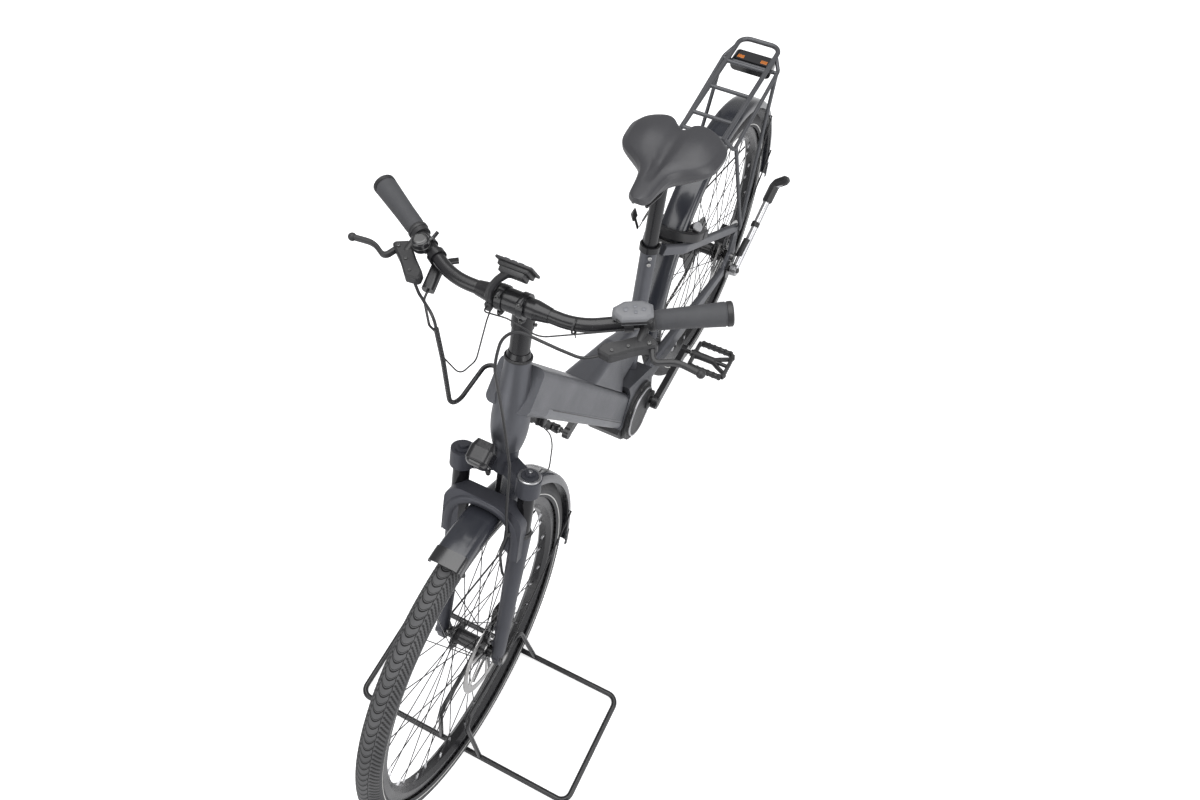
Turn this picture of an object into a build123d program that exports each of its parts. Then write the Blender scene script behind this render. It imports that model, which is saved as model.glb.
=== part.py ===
from build123d import *
import math
import os

# Step-through electric bicycle on its floor display stand.
# Millimetres. X to the rider's left, Y to the back, Z up.
# The origin is on the floor, midway along the bicycle, in the plane of the wheels.

os.makedirs("parts", exist_ok=True)

# ---------------------------------------------------------------- driving sizes
wheelbase = 1168
tyre_radius = 355
tyre_section = 23.5
rim_seat_radius = 311
rim_half_width = 15
rim_inner_radius = 291
spoke_radius = 1.0
spokes_per_wheel = 36
hub_flange_radius = 29
rotor_radius = 90
rotor_thickness = 1.8
axle_radius = 6
running_gap = 0.08
seat_gap = 0.3
move_gap = 5.5

head_angle = 68.2
fork_offset = 47
crown_offset = 34
leg_spacing = 130
stanchion_radius = 15
lower_leg_radius = 19
steerer_radius = 14.3
head_tube_low = 480
head_tube_high = 662

rear_guard_radius = 386
front_guard_radius = 372
guard_half_width = 31
guard_wall = 2.4
guard_depth = 19

bottom_bracket_height = 301
bottom_bracket_forward = 458
crank_length = 170
crank_face = 67
pedal_reach = 145

down_tube_width = 84
down_tube_depth = 84
seat_tube_radius = 18
seat_post_radius = 15.5
saddle_height = 925

bar_radius = 11.1
bar_clamp_radius = 15.9
bar_half_width = 305
grip_radius = 16
grip_length = 112

rack_height = 812
rack_half_width = 48
rack_tube = 5.5

stand_half_width = 264
stand_front = 130
stand_back = 120
stand_wire = 6
holder_height = 185
holder_half_width = 30

# ---------------------------------------------------------------- derived places
overall_length = tyre_radius + wheelbase + rear_guard_radius
front_y = tyre_radius - overall_length / 2
rear_y = front_y + wheelbase
axle_z = tyre_radius
crank_y = rear_y - bottom_bracket_forward
crank_z = bottom_bracket_height

head_cos = math.cos(math.radians(head_angle))
head_sin = math.sin(math.radians(head_angle))
steer_foot = Vector(0, front_y + fork_offset * head_sin, axle_z - fork_offset * head_cos)
steering = Plane(origin=steer_foot, x_dir=(1, 0, 0), z_dir=(0, head_cos, head_sin))


def steer_point(side, back, along):
    """A point given from the steering axis: to the left, behind it and along it."""
    return steering.from_local_coords(Vector(side, back, along))


def steer_plane(along, side=0, back=0):
    """A plane square to the steering axis."""
    return Plane(origin=steer_point(side, back, along), x_dir=(1, 0, 0), z_dir=steering.z_dir)


def side_plane(x=0):
    """A plane with Y across and Z up, looking along X."""
    return Plane(origin=(x, 0, 0), x_dir=(0, 1, 0), z_dir=(1, 0, 0))


def wheel_profile_plane(y):
    """Radius upwards and width sideways, through the axle at y."""
    return Plane(origin=(0, y, axle_z), x_dir=(1, 0, 0), z_dir=(0, -1, 0))


def axle_axis(y, z=axle_z):
    return Axis((0, y, z), (1, 0, 0))


def finish(builder, name):
    builder.part.label = name
    export_step(builder.part, f"parts/{name}.step")
    return builder.part


def round_bar(points, radii, radius):
    """A bar of round section along straight runs joined by tangent arcs."""
    with BuildPart() as bar:
        with BuildLine() as path:
            if radii:
                FilletPolyline(*points, radius=radii)
            else:
                Line(*points)
        with BuildSketch(Plane(origin=path.line @ 0, z_dir=path.line % 0)):
            Circle(radius)
        sweep()
    return bar.part


def rod(start, end, radius):
    """A straight round rod between two points."""
    return round_bar([Vector(*start), Vector(*end)], None, radius)


def rounded_bar(points, radii, width, height, up):
    """A bar of rounded rectangular section, its height towards up."""
    with BuildPart() as bar:
        with BuildLine() as path:
            if radii:
                FilletPolyline(*points, radius=radii)
            else:
                Line(*points)
        start = path.line % 0
        with BuildSketch(Plane(origin=path.line @ 0, x_dir=up.cross(start), z_dir=start)):
            RectangleRounded(width, height, min(width, height) * 0.35)
        sweep()
    return bar.part


# ---------------------------------------------------------------- wheels
def make_tyre(name, y):
    crown = tyre_radius - tyre_section
    lip = rim_seat_radius + 6.5
    with BuildPart() as tyre:
        with BuildSketch(wheel_profile_plane(y)):
            with Locations((0, crown)):
                Circle(tyre_section)
            with Locations((0, lip - 50)):
                Rectangle(2 * tyre_section, 100, mode=Mode.SUBTRACT)
            bead_half = rim_half_width - 3 - seat_gap
            with Locations((0, (rim_seat_radius + seat_gap + lip + 3) / 2)):
                Rectangle(2 * bead_half, lip + 3 - rim_seat_radius - seat_gap)
        revolve(axis=axle_axis(y))
    finish(tyre, name)


def make_rim(name, y):
    lip = rim_seat_radius + 6
    with BuildPart() as rim:
        with BuildSketch(wheel_profile_plane(y)):
            with BuildLine():
                Polyline(
                    (-rim_half_width, lip),
                    (-rim_half_width + 3, lip),
                    (-rim_half_width + 3, rim_seat_radius),
                    (rim_half_width - 3, rim_seat_radius),
                    (rim_half_width - 3, lip),
                    (rim_half_width, lip),
                    (rim_half_width, rim_seat_radius - 10),
                    (rim_half_width - 7, rim_inner_radius),
                    (-rim_half_width + 7, rim_inner_radius),
                    (-rim_half_width, rim_seat_radius - 10),
                    close=True,
                )
            make_face()
        revolve(axis=axle_axis(y))
    finish(rim, name)


def make_hub(name, y, left_flange, right_flange, left_end, right_end, rotor_seat):
    """A disc hub: barrel, two spoke flanges and the rotor's seat, bored for the axle."""
    barrel = 16
    flange = 1.8
    with BuildPart() as hub:
        with BuildSketch(wheel_profile_plane(y)):
            with BuildLine():
                Polyline(
                    (right_end, axle_radius + running_gap),
                    (right_end, 11),
                    (right_flange - 8, 12),
                    (right_flange - flange, barrel + 4),
                    (right_flange - flange, hub_flange_radius),
                    (right_flange + flange, hub_flange_radius),
                    (right_flange + flange, barrel + 4),
                    (right_flange + 9, barrel),
                    (left_flange - 9, barrel),
                    (left_flange - flange, barrel + 4),
                    (left_flange - flange, hub_flange_radius),
                    (left_flange + flange, hub_flange_radius),
                    (left_flange + flange, barrel + 5),
                    (rotor_seat, barrel + 5),
                    (rotor_seat, 12),
                    (left_end, 11),
                    (left_end, axle_radius + running_gap),
                    close=True,
                )
            make_face()
        revolve(axis=axle_axis(y))
    finish(hub, name)


def make_spokes(name, y, left_flange, right_flange):
    """Spokes crossed three times on each side, every other head inside its flange."""
    per_side = spokes_per_wheel // 2
    step = 360 / per_side
    head_radius = hub_flange_radius - 3.5
    rim_radius = rim_inner_radius - seat_gap
    stand_off = 1.8 + spoke_radius + 1.2
    with BuildPart() as spokes:
        for side, flange in ((1, left_flange), (-1, right_flange)):
            for outside in (1, -1):
                hub_x = flange + side * outside * stand_off
                first = (step / 2 if side < 0 else 0) + (step if outside < 0 else 0)
                for k in range(per_side // 2):
                    hub_angle = math.radians(first + 2 * step * k)
                    rim_angle = hub_angle + math.radians(3 * step * outside)
                    start = Vector(
                        hub_x,
                        y + head_radius * math.sin(hub_angle),
                        axle_z + head_radius * math.cos(hub_angle),
                    )
                    end = Vector(
                        side * 3,
                        y + rim_radius * math.sin(rim_angle),
                        axle_z + rim_radius * math.cos(rim_angle),
                    )
                    length = (end - start).length
                    with BuildSketch(Plane(origin=start, z_dir=end - start)):
                        RegularPolygon(spoke_radius, 6)
                extrude(amount=length)
    finish(spokes, name)


def make_rotor(name, y, x):
    """A brake disc with its arms and a vented braking ring."""
    band = 15
    with BuildPart() as rotor:
        with BuildSketch(Plane(origin=(x, y, axle_z), x_dir=(0, 1, 0), z_dir=(1, 0, 0))):
            Circle(rotor_radius)
            Circle(rotor_radius - band, mode=Mode.SUBTRACT)
            Circle(22)
            for k in range(6):
                with PolarLocations(0, 1, start_angle=60 * k):
                    with Locations(Location((rotor_radius / 2, 8, 0), (0, 0, 14))):
                        Rectangle(rotor_radius - 12, 7)
            Circle(12.5, mode=Mode.SUBTRACT)
        extrude(amount=rotor_thickness)
    finish(rotor, name)


front_hub = dict(left_flange=20, right_flange=-32, left_end=49.5, right_end=-49.5, rotor_seat=37)
rear_hub = dict(left_flange=30, right_flange=-17, left_end=67, right_end=-67, rotor_seat=52)
rotor_front_x = front_hub["rotor_seat"] + 0.1
rotor_rear_x = rear_hub["rotor_seat"] + 0.1

for place, y, hub in (("front", front_y, front_hub), ("rear", rear_y, rear_hub)):
    make_tyre(f"{place}_tyre", y)
    make_rim(f"{place}_rim", y)
    make_hub(f"{place}_hub", y, **hub)
    make_spokes(f"{place}_spokes", y, hub["left_flange"], hub["right_flange"])
make_rotor("front_brake_disc", front_y, rotor_front_x)
make_rotor("rear_brake_disc", rear_y, rotor_rear_x)

# cassette: sprockets on the freehub, smallest outside
sprocket_teeth = [34, 30, 26, 23, 20, 17, 15, 13, 11]
sprocket_pitch = 4.3
cassette_x = rear_hub["right_flange"] - 9
freehub_radius = 17
with BuildPart() as cassette:
    with BuildSketch(wheel_profile_plane(rear_y)):
        cassette_width = sprocket_pitch * len(sprocket_teeth)
        with Locations((cassette_x - cassette_width / 2, (12.5 + freehub_radius) / 2)):
            Rectangle(cassette_width, freehub_radius - 12.5)
        for index, teeth in enumerate(sprocket_teeth):
            radius = teeth * 12.7 / math.tau + 1
            x = cassette_x - sprocket_pitch * (index + 0.5)
            with Locations((x, (radius + 14) / 2)):
                Rectangle(2, radius - 14)
    revolve(axis=axle_axis(rear_y))
finish(cassette, "cassette")

# ---------------------------------------------------------------- fork
leg_x = leg_spacing / 2
crown_high = 462
crown_low = 428
race_top = head_tube_low - seat_gap
seal_along = 330
arch_low = 383
arch_high = 400
arch_bend = 36
arch_depth = 30
leg_foot_x = leg_x - 2
stem_low = 722
stem_high = 762

arm_half = 15
arm_reach = math.hypot(crown_offset, leg_x)
arm_turn = math.degrees(math.atan2(crown_offset, leg_x))
arm_along = Vector(-leg_x, -crown_offset, 0) / arm_reach
arm_out = Vector(crown_offset, -leg_x, 0) / arm_reach
arm_high = 456
with BuildPart() as fork_crown:
    with BuildSketch(steer_plane(crown_low)):
        Circle(22)
    extrude(amount=race_top - 3 - crown_low)
    with BuildSketch(steer_plane(race_top - 3)):
        Circle(24)
    extrude(amount=3)
    with BuildSketch(steer_plane(race_top)):
        Circle(steerer_radius)
    extrude(amount=stem_high - 4 - seat_gap - race_top)
    for side in (1, -1):
        with BuildSketch(steer_plane(crown_low, side * leg_x, -crown_offset)):
            Circle(stanchion_radius + 7)
        extrude(amount=crown_high - crown_low)
        with BuildSketch(steer_plane(crown_low + 2)):
            with Locations(Location((side * leg_x / 2, -crown_offset / 2, 0), (0, 0, -side * arm_turn))):
                RectangleRounded(arm_reach, 2 * arm_half, 8)
        extrude(amount=arm_high - crown_low - 2)
        with BuildSketch(steer_plane(seal_along - 70, side * leg_x, -crown_offset)):
            Circle(stanchion_radius)
        extrude(amount=crown_low - seal_along + 71)
        # cap: an adjuster knob on the left, a plain one on the right
        with BuildSketch(steer_plane(crown_high, side * leg_x, -crown_offset)):
            Circle(stanchion_radius)
        extrude(amount=5)
        with BuildSketch(steer_plane(crown_high + 5, side * leg_x, -crown_offset)):
            if side > 0:
                RegularPolygon(9, 6)
            else:
                Circle(9)
        extrude(amount=6)
finish(fork_crown, "fork_crown")

# the front caliper's seat behind the left leg
caliper_turn = math.radians(65)
caliper_middle = (front_y + 60, 386)
caliper_back = Vector(0, math.sin(caliper_turn), -math.cos(caliper_turn))
caliper_up = Vector(0, math.cos(caliper_turn), math.sin(caliper_turn))
caliper_face = Vector(51, *caliper_middle) - caliper_back * 19

# the two lower legs, joined by the arch in front of the tyre
with BuildPart() as fork_lowers:
    for side in (1, -1):
        top = steer_point(side * leg_x, -crown_offset, seal_along)
        low = Vector(side * leg_foot_x, front_y, axle_z + 14)
        with BuildSketch(Plane(origin=top, x_dir=(1, 0, 0), z_dir=low - top)):
            Circle(lower_leg_radius)
        with BuildSketch(Plane(origin=low, x_dir=(1, 0, 0), z_dir=low - top)):
            Ellipse(12, 15)
        loft(ruled=True)
        with BuildSketch(side_plane(side * leg_foot_x - 7)):
            with Locations((front_y, axle_z + 2)):
                RectangleRounded(30, 46, 9)
        extrude(amount=14)
    arch_plane = Plane(origin=steer_point(0, -crown_offset - 2, 0), x_dir=(1, 0, 0), z_dir=-steering.y_dir)
    with BuildSketch(arch_plane):
        outer = leg_x + 13
        inner = leg_x - lower_leg_radius + 1
        with BuildLine():
            FilletPolyline(
                (outer, seal_along - 42), (outer - 1, arch_high), (1 - outer, arch_high),
                (-outer, seal_along - 42),
                radius=arch_bend,
            )
            Polyline(
                (-outer, seal_along - 42), (-inner, seal_along - 20), (-inner, arch_low - 12),
                (-inner + 12, arch_low), (inner - 12, arch_low), (inner, arch_low - 12),
                (inner, seal_along - 20), (outer, seal_along - 42),
            )
        make_face()
    extrude(amount=arch_depth)
    for along_face in (-20, 22):
        lug_face = caliper_face + caliper_up * along_face - caliper_back * seat_gap
        add(rod(lug_face - caliper_back * 30, lug_face, 6))
    for side in (1, -1):
        with BuildSketch(steer_plane(seal_along - 72, side * leg_x, -crown_offset)):
            Circle(stanchion_radius + running_gap)
        extrude(amount=150, mode=Mode.SUBTRACT)
        with BuildSketch(side_plane(-120)):
            with Locations((front_y, axle_z)):
                Circle(axle_radius + running_gap)
        extrude(amount=240, mode=Mode.SUBTRACT)
finish(fork_lowers, "fork_lowers")

with BuildPart() as front_axle:
    with BuildSketch(Plane(origin=(-leg_foot_x - 12, front_y, axle_z), x_dir=(0, 1, 0), z_dir=(1, 0, 0))):
        Circle(axle_radius)
    extrude(amount=2 * leg_foot_x + 24)
    for side in (1, -1):
        start = side * (leg_foot_x + 7.1)
        with BuildSketch(Plane(origin=(start, front_y, axle_z), x_dir=(0, 1, 0), z_dir=(side, 0, 0))):
            Circle(9)
        extrude(amount=6)
finish(front_axle, "front_axle")

# ---------------------------------------------------------------- steering parts
with BuildPart() as headset:
    with BuildSketch(steer_plane(head_tube_high + seat_gap)):
        Circle(22)
    with BuildSketch(steer_plane(head_tube_high + 14)):
        Circle(18)
    loft(ruled=True)
    with BuildSketch(steer_plane(head_tube_high + 14)):
        Circle(17)
    extrude(amount=stem_low - head_tube_high - 14)
    with BuildSketch(steer_plane(head_tube_high)):
        Circle(steerer_radius + running_gap)
    extrude(amount=80, mode=Mode.SUBTRACT)
finish(headset, "headset_spacers")

bar_back = 298
bar_height = 1082
bar_centre = Vector(0, front_y + bar_back, bar_height)
bar_bend_x = 108
bar_end_back = 110
bar_rise = 15
clamp_half = 24
strap_width = 11
bulge_half = 38


def bar_section(x):
    """A plane square to the bar's straight middle."""
    return Plane(origin=(x, bar_centre.Y, bar_centre.Z), x_dir=(0, 1, 0), z_dir=(1, 0, 0))


with BuildPart() as stem:
    with BuildSketch(steer_plane(stem_low + seat_gap)):
        Circle(19)
    extrude(amount=stem_high - stem_low)
    with BuildSketch(bar_section(-clamp_half)):
        Circle(bar_clamp_radius + 2.6)
    extrude(amount=2 * clamp_half)
    for strap_start in (-clamp_half, clamp_half - strap_width):
        with BuildSketch(bar_section(strap_start)):
            Circle(bar_clamp_radius + 5)
        extrude(amount=strap_width)
    with BuildSketch(side_plane(-15)):
        low_end = steer_point(0, 0, stem_low + 12)
        high_end = steer_point(0, 0, stem_high - 4)
        with BuildLine():
            Polyline(
                (low_end.Y, low_end.Z), (high_end.Y, high_end.Z),
                (bar_centre.Y + 4, bar_centre.Z + 16), (bar_centre.Y, bar_centre.Z - 16), close=True,
            )
        make_face()
    extrude(amount=30)
    with BuildSketch(steer_plane(stem_low - 5)):
        Circle(steerer_radius + running_gap)
    extrude(amount=stem_high - stem_low + 1, mode=Mode.SUBTRACT)
    with BuildSketch(bar_section(-60)):
        Circle(bar_clamp_radius + running_gap)
    extrude(amount=120, mode=Mode.SUBTRACT)
finish(stem, "stem")

bar_right = [
    bar_centre,
    bar_centre + Vector(bar_bend_x, 0, 0),
    bar_centre + Vector(bar_half_width - 3, bar_end_back, bar_rise),
]
bar_direction = (bar_right[2] - bar_right[1]).normalized()
with BuildPart() as handlebar:
    with BuildLine() as bar_path:
        FilletPolyline(
            bar_right[2] * 1, bar_right[1],
            Vector(-bar_right[1].X, bar_right[1].Y, bar_right[1].Z),
            Vector(-bar_right[2].X, bar_right[2].Y, bar_right[2].Z),
            radius=120,
        )
    with BuildSketch(Plane(origin=bar_path.line @ 0, z_dir=bar_path.line % 0)):
        Circle(bar_radius)
    sweep()
    with BuildSketch(bar_section(-bulge_half)):
        Circle(bar_clamp_radius)
    extrude(amount=2 * bulge_half)
    for side in (1, -1):
        bulge_end = Plane(origin=(side * bulge_half, bar_centre.Y, bar_centre.Z), z_dir=(side, 0, 0))
        with BuildSketch(bulge_end):
            Circle(bar_clamp_radius)
        extrude(amount=24, taper=9)
finish(handlebar, "handlebar")

def bar_along(side):
    """The bar's direction outwards on one side."""
    return Vector(side * bar_direction.X, bar_direction.Y, bar_direction.Z)


def bar_place(side, reach):
    """A point in the bar's middle, so far to the side."""
    bend = Vector(side * bar_bend_x, bar_centre.Y, bar_centre.Z)
    return bend + bar_along(side) * ((reach - bar_bend_x) / bar_direction.X)


def bar_clamp(side, reach, width, wall):
    """A ring round the bar, to be bored by bar_bore."""
    along = bar_along(side)
    with BuildPart() as ring:
        with BuildSketch(Plane(origin=bar_place(side, reach) - along * (width / 2), z_dir=along)):
            Circle(bar_radius + wall)
        extrude(amount=width)
    return ring.part


def bar_bore(side):
    """The room that the bar takes on one side, with its running gap."""
    with BuildPart() as room:
        with BuildSketch(Plane(origin=bar_place(side, bar_bend_x), z_dir=bar_along(side))):
            Circle(bar_radius + running_gap)
        extrude(amount=260)
    return room.part


# grips: slim at the lever, flared towards the end, with an end cap
grip_cap = 9
for side, place in ((1, "left"), (-1, "right")):
    outer_end = Vector(side * bar_right[2].X, bar_right[2].Y, bar_right[2].Z)
    along = bar_along(side)
    with BuildPart() as grip:
        flare = grip_radius + 2.5
        for back, radius in ((grip_length, 14), (grip_length - 10, 15.5), (70, grip_radius), (grip_cap, flare)):
            with BuildSketch(Plane(origin=outer_end - along * back, z_dir=along)):
                Circle(radius)
        loft(ruled=True)
        with BuildSketch(Plane(origin=outer_end - along * grip_cap, z_dir=along)):
            Circle(grip_radius + 1.5)
        extrude(amount=grip_cap + 3)
        fillet(grip.edges().sort_by(Axis(outer_end, along))[-1], 2)
        add(bar_bore(side), mode=Mode.SUBTRACT)
        with BuildSketch(Plane(origin=outer_end, z_dir=along)):
            Circle(bar_radius + 1)
        extrude(amount=3)
    finish(grip, f"grip_{place}")

# brake levers: a master cylinder ahead of the bar and a curved blade with a ball at its tip
lever_reach = 197
lever_low = 1070
for side, place in ((1, "left"), (-1, "right")):
    body_outline = [(232, 318), (201, 294), (174, 267), (150, 270), (154, 286), (177, 305), (206, 333)]
    blade_points = [
        Vector(side * 221, front_y + 312, lever_low + 6),
        Vector(side * 231, front_y + 293, lever_low + 3),
        Vector(side * 262, front_y + 311, lever_low + 2),
        Vector(side * 300, front_y + 306, lever_low + 3),
    ]
    blade = rounded_bar(blade_points, [9, 40], 8, 11, Vector(0, 0, 1))
    clamp_ring = bar_clamp(side, lever_reach, 13, 4)
    link = rod(bar_place(side, lever_reach), Vector(side * 200, front_y + 312, lever_low + 10), 7)
    with BuildPart() as lever:
        with BuildSketch(Plane.XY.offset(lever_low)):
            with BuildLine():
                FilletPolyline(*[(side * x, front_y + y) for x, y in body_outline], radius=6, close=True)
            make_face()
        extrude(amount=16)
        chamfer(lever.faces().sort_by(Axis.Z)[-1].edges(), 3)
        add(blade)
        with Locations(blade_points[-1]):
            Sphere(7)
        add(clamp_ring)
        add(link)
        add(bar_bore(side), mode=Mode.SUBTRACT)
    finish(lever, f"brake_lever_{place}")

# gear shifter under the bar, with its thumb paddle
shifter_reach = 150
shifter_nose = Vector(-143, front_y + 276, 1056)
shifter_heel = Vector(-150, front_y + 320, 1064)
shifter_ring = bar_clamp(-1, shifter_reach, 10, 3.5)
shifter_body = rounded_bar([shifter_heel, shifter_nose], None, 20, 16, Vector(0, 0, 1))
paddle_route = [shifter_heel + Vector(0, 0, -3), shifter_heel + Vector(4, 20, -8), shifter_heel + Vector(18, 30, -8)]
paddle = rounded_bar(paddle_route, 10, 12, 5, Vector(0, 0, 1))
with BuildPart() as shifter:
    add(shifter_body)
    add(shifter_ring)
    add(paddle)
    add(bar_bore(-1), mode=Mode.SUBTRACT)
finish(shifter, "shifter")

# bell: a small drum on a clamp, with a thumb lever
bell_reach = 172
bell_base = Vector(-175, front_y + 321, 1094)
bell_ring = bar_clamp(-1, bell_reach, 9, 3)
bell_thumb = round_bar(
    [bell_base + Vector(6, 4, 10), bell_base + Vector(12, 16, 11), bell_base + Vector(16, 26, 17)], 8, 3
)
with BuildPart() as bell:
    with BuildSketch(Plane(origin=bell_base, z_dir=(0, 0, 1))):
        Circle(14)
    extrude(amount=20)
    fillet(bell.faces().sort_by(Axis.Z)[-1].edges(), 4)
    add(bell_ring)
    add(bell_thumb)
    add(bar_bore(-1), mode=Mode.SUBTRACT)
finish(bell, "bell")

# display: a wedge on a curved arm, its face towards the rider
display_at = Vector(0, front_y + 322, 1140)
display_up = Vector(0, 0.3, 0.954)
display_x = -37
display_arm = round_bar(
    [
        Vector(display_x + 3.5, bar_centre.Y - 3, bar_centre.Z + 17),
        Vector(display_x + 10, bar_centre.Y - 4, bar_centre.Z + 44),
        Vector(-2, display_at.Y - 2, display_at.Z - 15),
    ],
    14, 7,
)
with BuildPart() as display:
    with BuildSketch(Plane(origin=display_at - display_up * 5, x_dir=(1, 0, 0), z_dir=display_up)):
        RectangleRounded(57, 50, 5)
    extrude(amount=5)
    with BuildSketch(Plane(origin=display_at - display_up * 5, x_dir=(1, 0, 0), z_dir=display_up)):
        RectangleRounded(54, 47, 5)
    with BuildSketch(Plane(origin=display_at - display_up * 18, x_dir=(1, 0, 0), z_dir=display_up)):
        RectangleRounded(34, 28, 5)
    loft(ruled=True)
    add(display_arm)
    with BuildSketch(bar_section(display_x)):
        Circle(bar_clamp_radius + 5)
    extrude(amount=11)
    with BuildSketch(bar_section(display_x - 3)):
        Circle(bar_clamp_radius + running_gap)
    extrude(amount=15.5, mode=Mode.SUBTRACT)
finish(display, "display")

# control unit: a rounded shell over the bar by the left grip
unit_reach = 172
unit_at = bar_place(1, 177) + Vector(4, -2, bar_radius)
unit_ring = bar_clamp(1, unit_reach, 14, 3.5)
unit_foot = rod(bar_place(1, unit_reach) + Vector(0, 0, bar_radius + 1), unit_at + Vector(-5, 0, 9), 7)
with BuildPart() as control_unit:
    for lift, length, width in ((6.4, 46, 26), (9, 55, 33), (14, 56, 34), (19, 44, 24)):
        layer = Plane(origin=unit_at + Vector(0, 0, lift), x_dir=(bar_direction.X, bar_direction.Y, 0))
        with BuildSketch(layer):
            RectangleRounded(length, width, 9)
    loft(ruled=True)
    add(unit_ring)
    add(unit_foot)
    add(bar_bore(1), mode=Mode.SUBTRACT)
finish(control_unit, "control_unit")

# headlight: a rounded box on a bracket from the crown, its lens forwards
lamp_at = Vector(-14, front_y + 176, 820)
lamp_facing = Vector(0, -0.96, -0.28)
bracket_along = 445
bracket_foot = arm_along * 27 + arm_out * (arm_half + seat_gap)
bracket_elbow = bracket_foot + arm_out * 32
bracket = round_bar(
    [
        steer_point(bracket_foot.X, bracket_foot.Y, bracket_along),
        steer_point(bracket_elbow.X, bracket_elbow.Y, bracket_along),
        steer_point(-10, -57, bracket_along + 40),
    ],
    10, 4,
)
with BuildPart() as headlight:
    with BuildSketch(Plane(origin=lamp_at, x_dir=(1, 0, 0), z_dir=lamp_facing)):
        RectangleRounded(44, 40, 12)
    extrude(amount=24)
    with BuildSketch(Plane(origin=lamp_at, x_dir=(1, 0, 0), z_dir=-lamp_facing)):
        RectangleRounded(44, 40, 12)
    extrude(amount=14, taper=22)
    fillet(headlight.faces().sort_by(Axis(lamp_at, lamp_facing))[-1].edges(), 3)
    add(bracket)
finish(headlight, "headlight")


# ---------------------------------------------------------------- mudguards
def guard_profile(y, crown):
    """A mudguard's section: a shallow channel open towards the axle."""
    depth = guard_depth
    with BuildSketch(wheel_profile_plane(y)) as section:
        with BuildLine():
            ThreePointArc((-guard_half_width, crown - depth), (0, crown), (guard_half_width, crown - depth))
            Line((guard_half_width, crown - depth), (guard_half_width - guard_wall, crown - depth))
            ThreePointArc(
                (guard_half_width - guard_wall, crown - depth),
                (0, crown - guard_wall),
                (guard_wall - guard_half_width, crown - depth),
            )
            Line((guard_wall - guard_half_width, crown - depth), (-guard_half_width, crown - depth))
        make_face()
    return section.sketch


def guard_body(y, crown, first, last):
    """The section turned about the axle, from one angle behind the top to another ahead of it."""
    with BuildPart() as guard:
        add(guard_profile(y, crown).rotate(axle_axis(y), first))
        revolve(axis=axle_axis(y), revolution_arc=last - first)
    return guard.part


stay_wire = 2


def guard_stay(side, y, crown, angle, eye):
    """A wire from the mudguard's edge to its eye near the axle."""
    reach = crown - 12
    turn = math.radians(angle)
    edge_x = side * (guard_half_width + stay_wire + seat_gap)
    edge = Vector(edge_x, y - reach * math.sin(turn), axle_z + reach * math.cos(turn))
    return rod(edge, eye, stay_wire)


front_guard_ahead = 0
front_guard_behind = -114
with BuildPart() as front_mudguard:
    add(guard_body(front_y, front_guard_radius, front_guard_behind, front_guard_ahead))
finish(front_mudguard, "front_mudguard")

guard_post_foot = 371.6
with BuildPart() as front_guard_stays:
    for side in (1, -1):
        eye = Vector(side * (leg_foot_x + 7 + stay_wire + seat_gap), front_y + 9, axle_z - 8)
        add(guard_stay(side, front_y, front_guard_radius, -96, eye))
    with BuildSketch(steer_plane(guard_post_foot, 0, -12)):
        Circle(6)
    extrude(amount=crown_low - seat_gap - guard_post_foot)
finish(front_guard_stays, "front_guard_stays")

rear_guard_ahead = 80
rear_guard_behind = -98
with BuildPart() as rear_mudguard:
    add(guard_body(rear_y, rear_guard_radius, rear_guard_behind, rear_guard_ahead))
finish(rear_mudguard, "rear_mudguard")

# ---------------------------------------------------------------- frame
down_angle = 57.3
down_dir = Vector(0, math.cos(math.radians(down_angle)), -math.sin(math.radians(down_angle)))
down_up = Vector(0, math.sin(math.radians(down_angle)), math.cos(math.radians(down_angle)))
down_head = steer_point(0, 0, 606)
down_end_top = 607
down_end_low = 642
motor_y = crank_y - 46
motor_z = crank_z + 9
motor_radius = 74
shell_half = 44
corner = 14


def side_point(y, z):
    """Y from the front axle, and height."""
    return (front_y + y, z)


def down_point(along, up):
    """A point on the down tube's side: along its axis and above it."""
    at = down_head + down_dir * along + down_up * up
    return (at.Y, at.Z)


half_depth = down_tube_depth / 2
with BuildPart() as down_tube_body:
    with BuildSketch(side_plane(-down_tube_width / 2)):
        with BuildLine():
            Polyline(
                down_point(0, half_depth), down_point(down_end_top, half_depth),
                down_point(down_end_low, -half_depth), down_point(0, -half_depth), close=True,
            )
        make_face()
    extrude(amount=down_tube_width)
    long_edges = [e for e in down_tube_body.edges() if abs(e.length) > 400]
    fillet(long_edges, corner)

cover_first = 90
cover_last = 640
cover_top = -20

with BuildPart() as frame_front:
    with BuildSketch(Plane(origin=steer_foot, x_dir=(1, 0, 0), z_dir=-steering.y_dir)):
        with BuildLine():
            outline = Spline(
                (22, head_tube_high), (24, head_tube_high - 30), (33, head_tube_low + 70), (25, head_tube_low)
            )
            Line((25, head_tube_low), (0, head_tube_low))
            Line((0, head_tube_low), (0, head_tube_high))
            Line((0, head_tube_high), (22, head_tube_high))
        make_face()
    revolve(axis=Axis(steer_foot, steering.z_dir))
    add(down_tube_body.part)
    with BuildSketch(steer_plane(head_tube_low - 5)):
        Circle(steerer_radius + 3)
    extrude(amount=head_tube_high - head_tube_low + 10, mode=Mode.SUBTRACT)
    with BuildSketch(side_plane(-60)):
        with BuildLine():
            Polyline(
                down_point(cover_first, cover_top), down_point(cover_last + 20, cover_top),
                down_point(cover_last + 20, -half_depth - 5), down_point(cover_first, -half_depth - 5),
                close=True,
            )
        make_face()
    extrude(amount=120, mode=Mode.SUBTRACT)
finish(frame_front, "frame_front")

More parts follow.
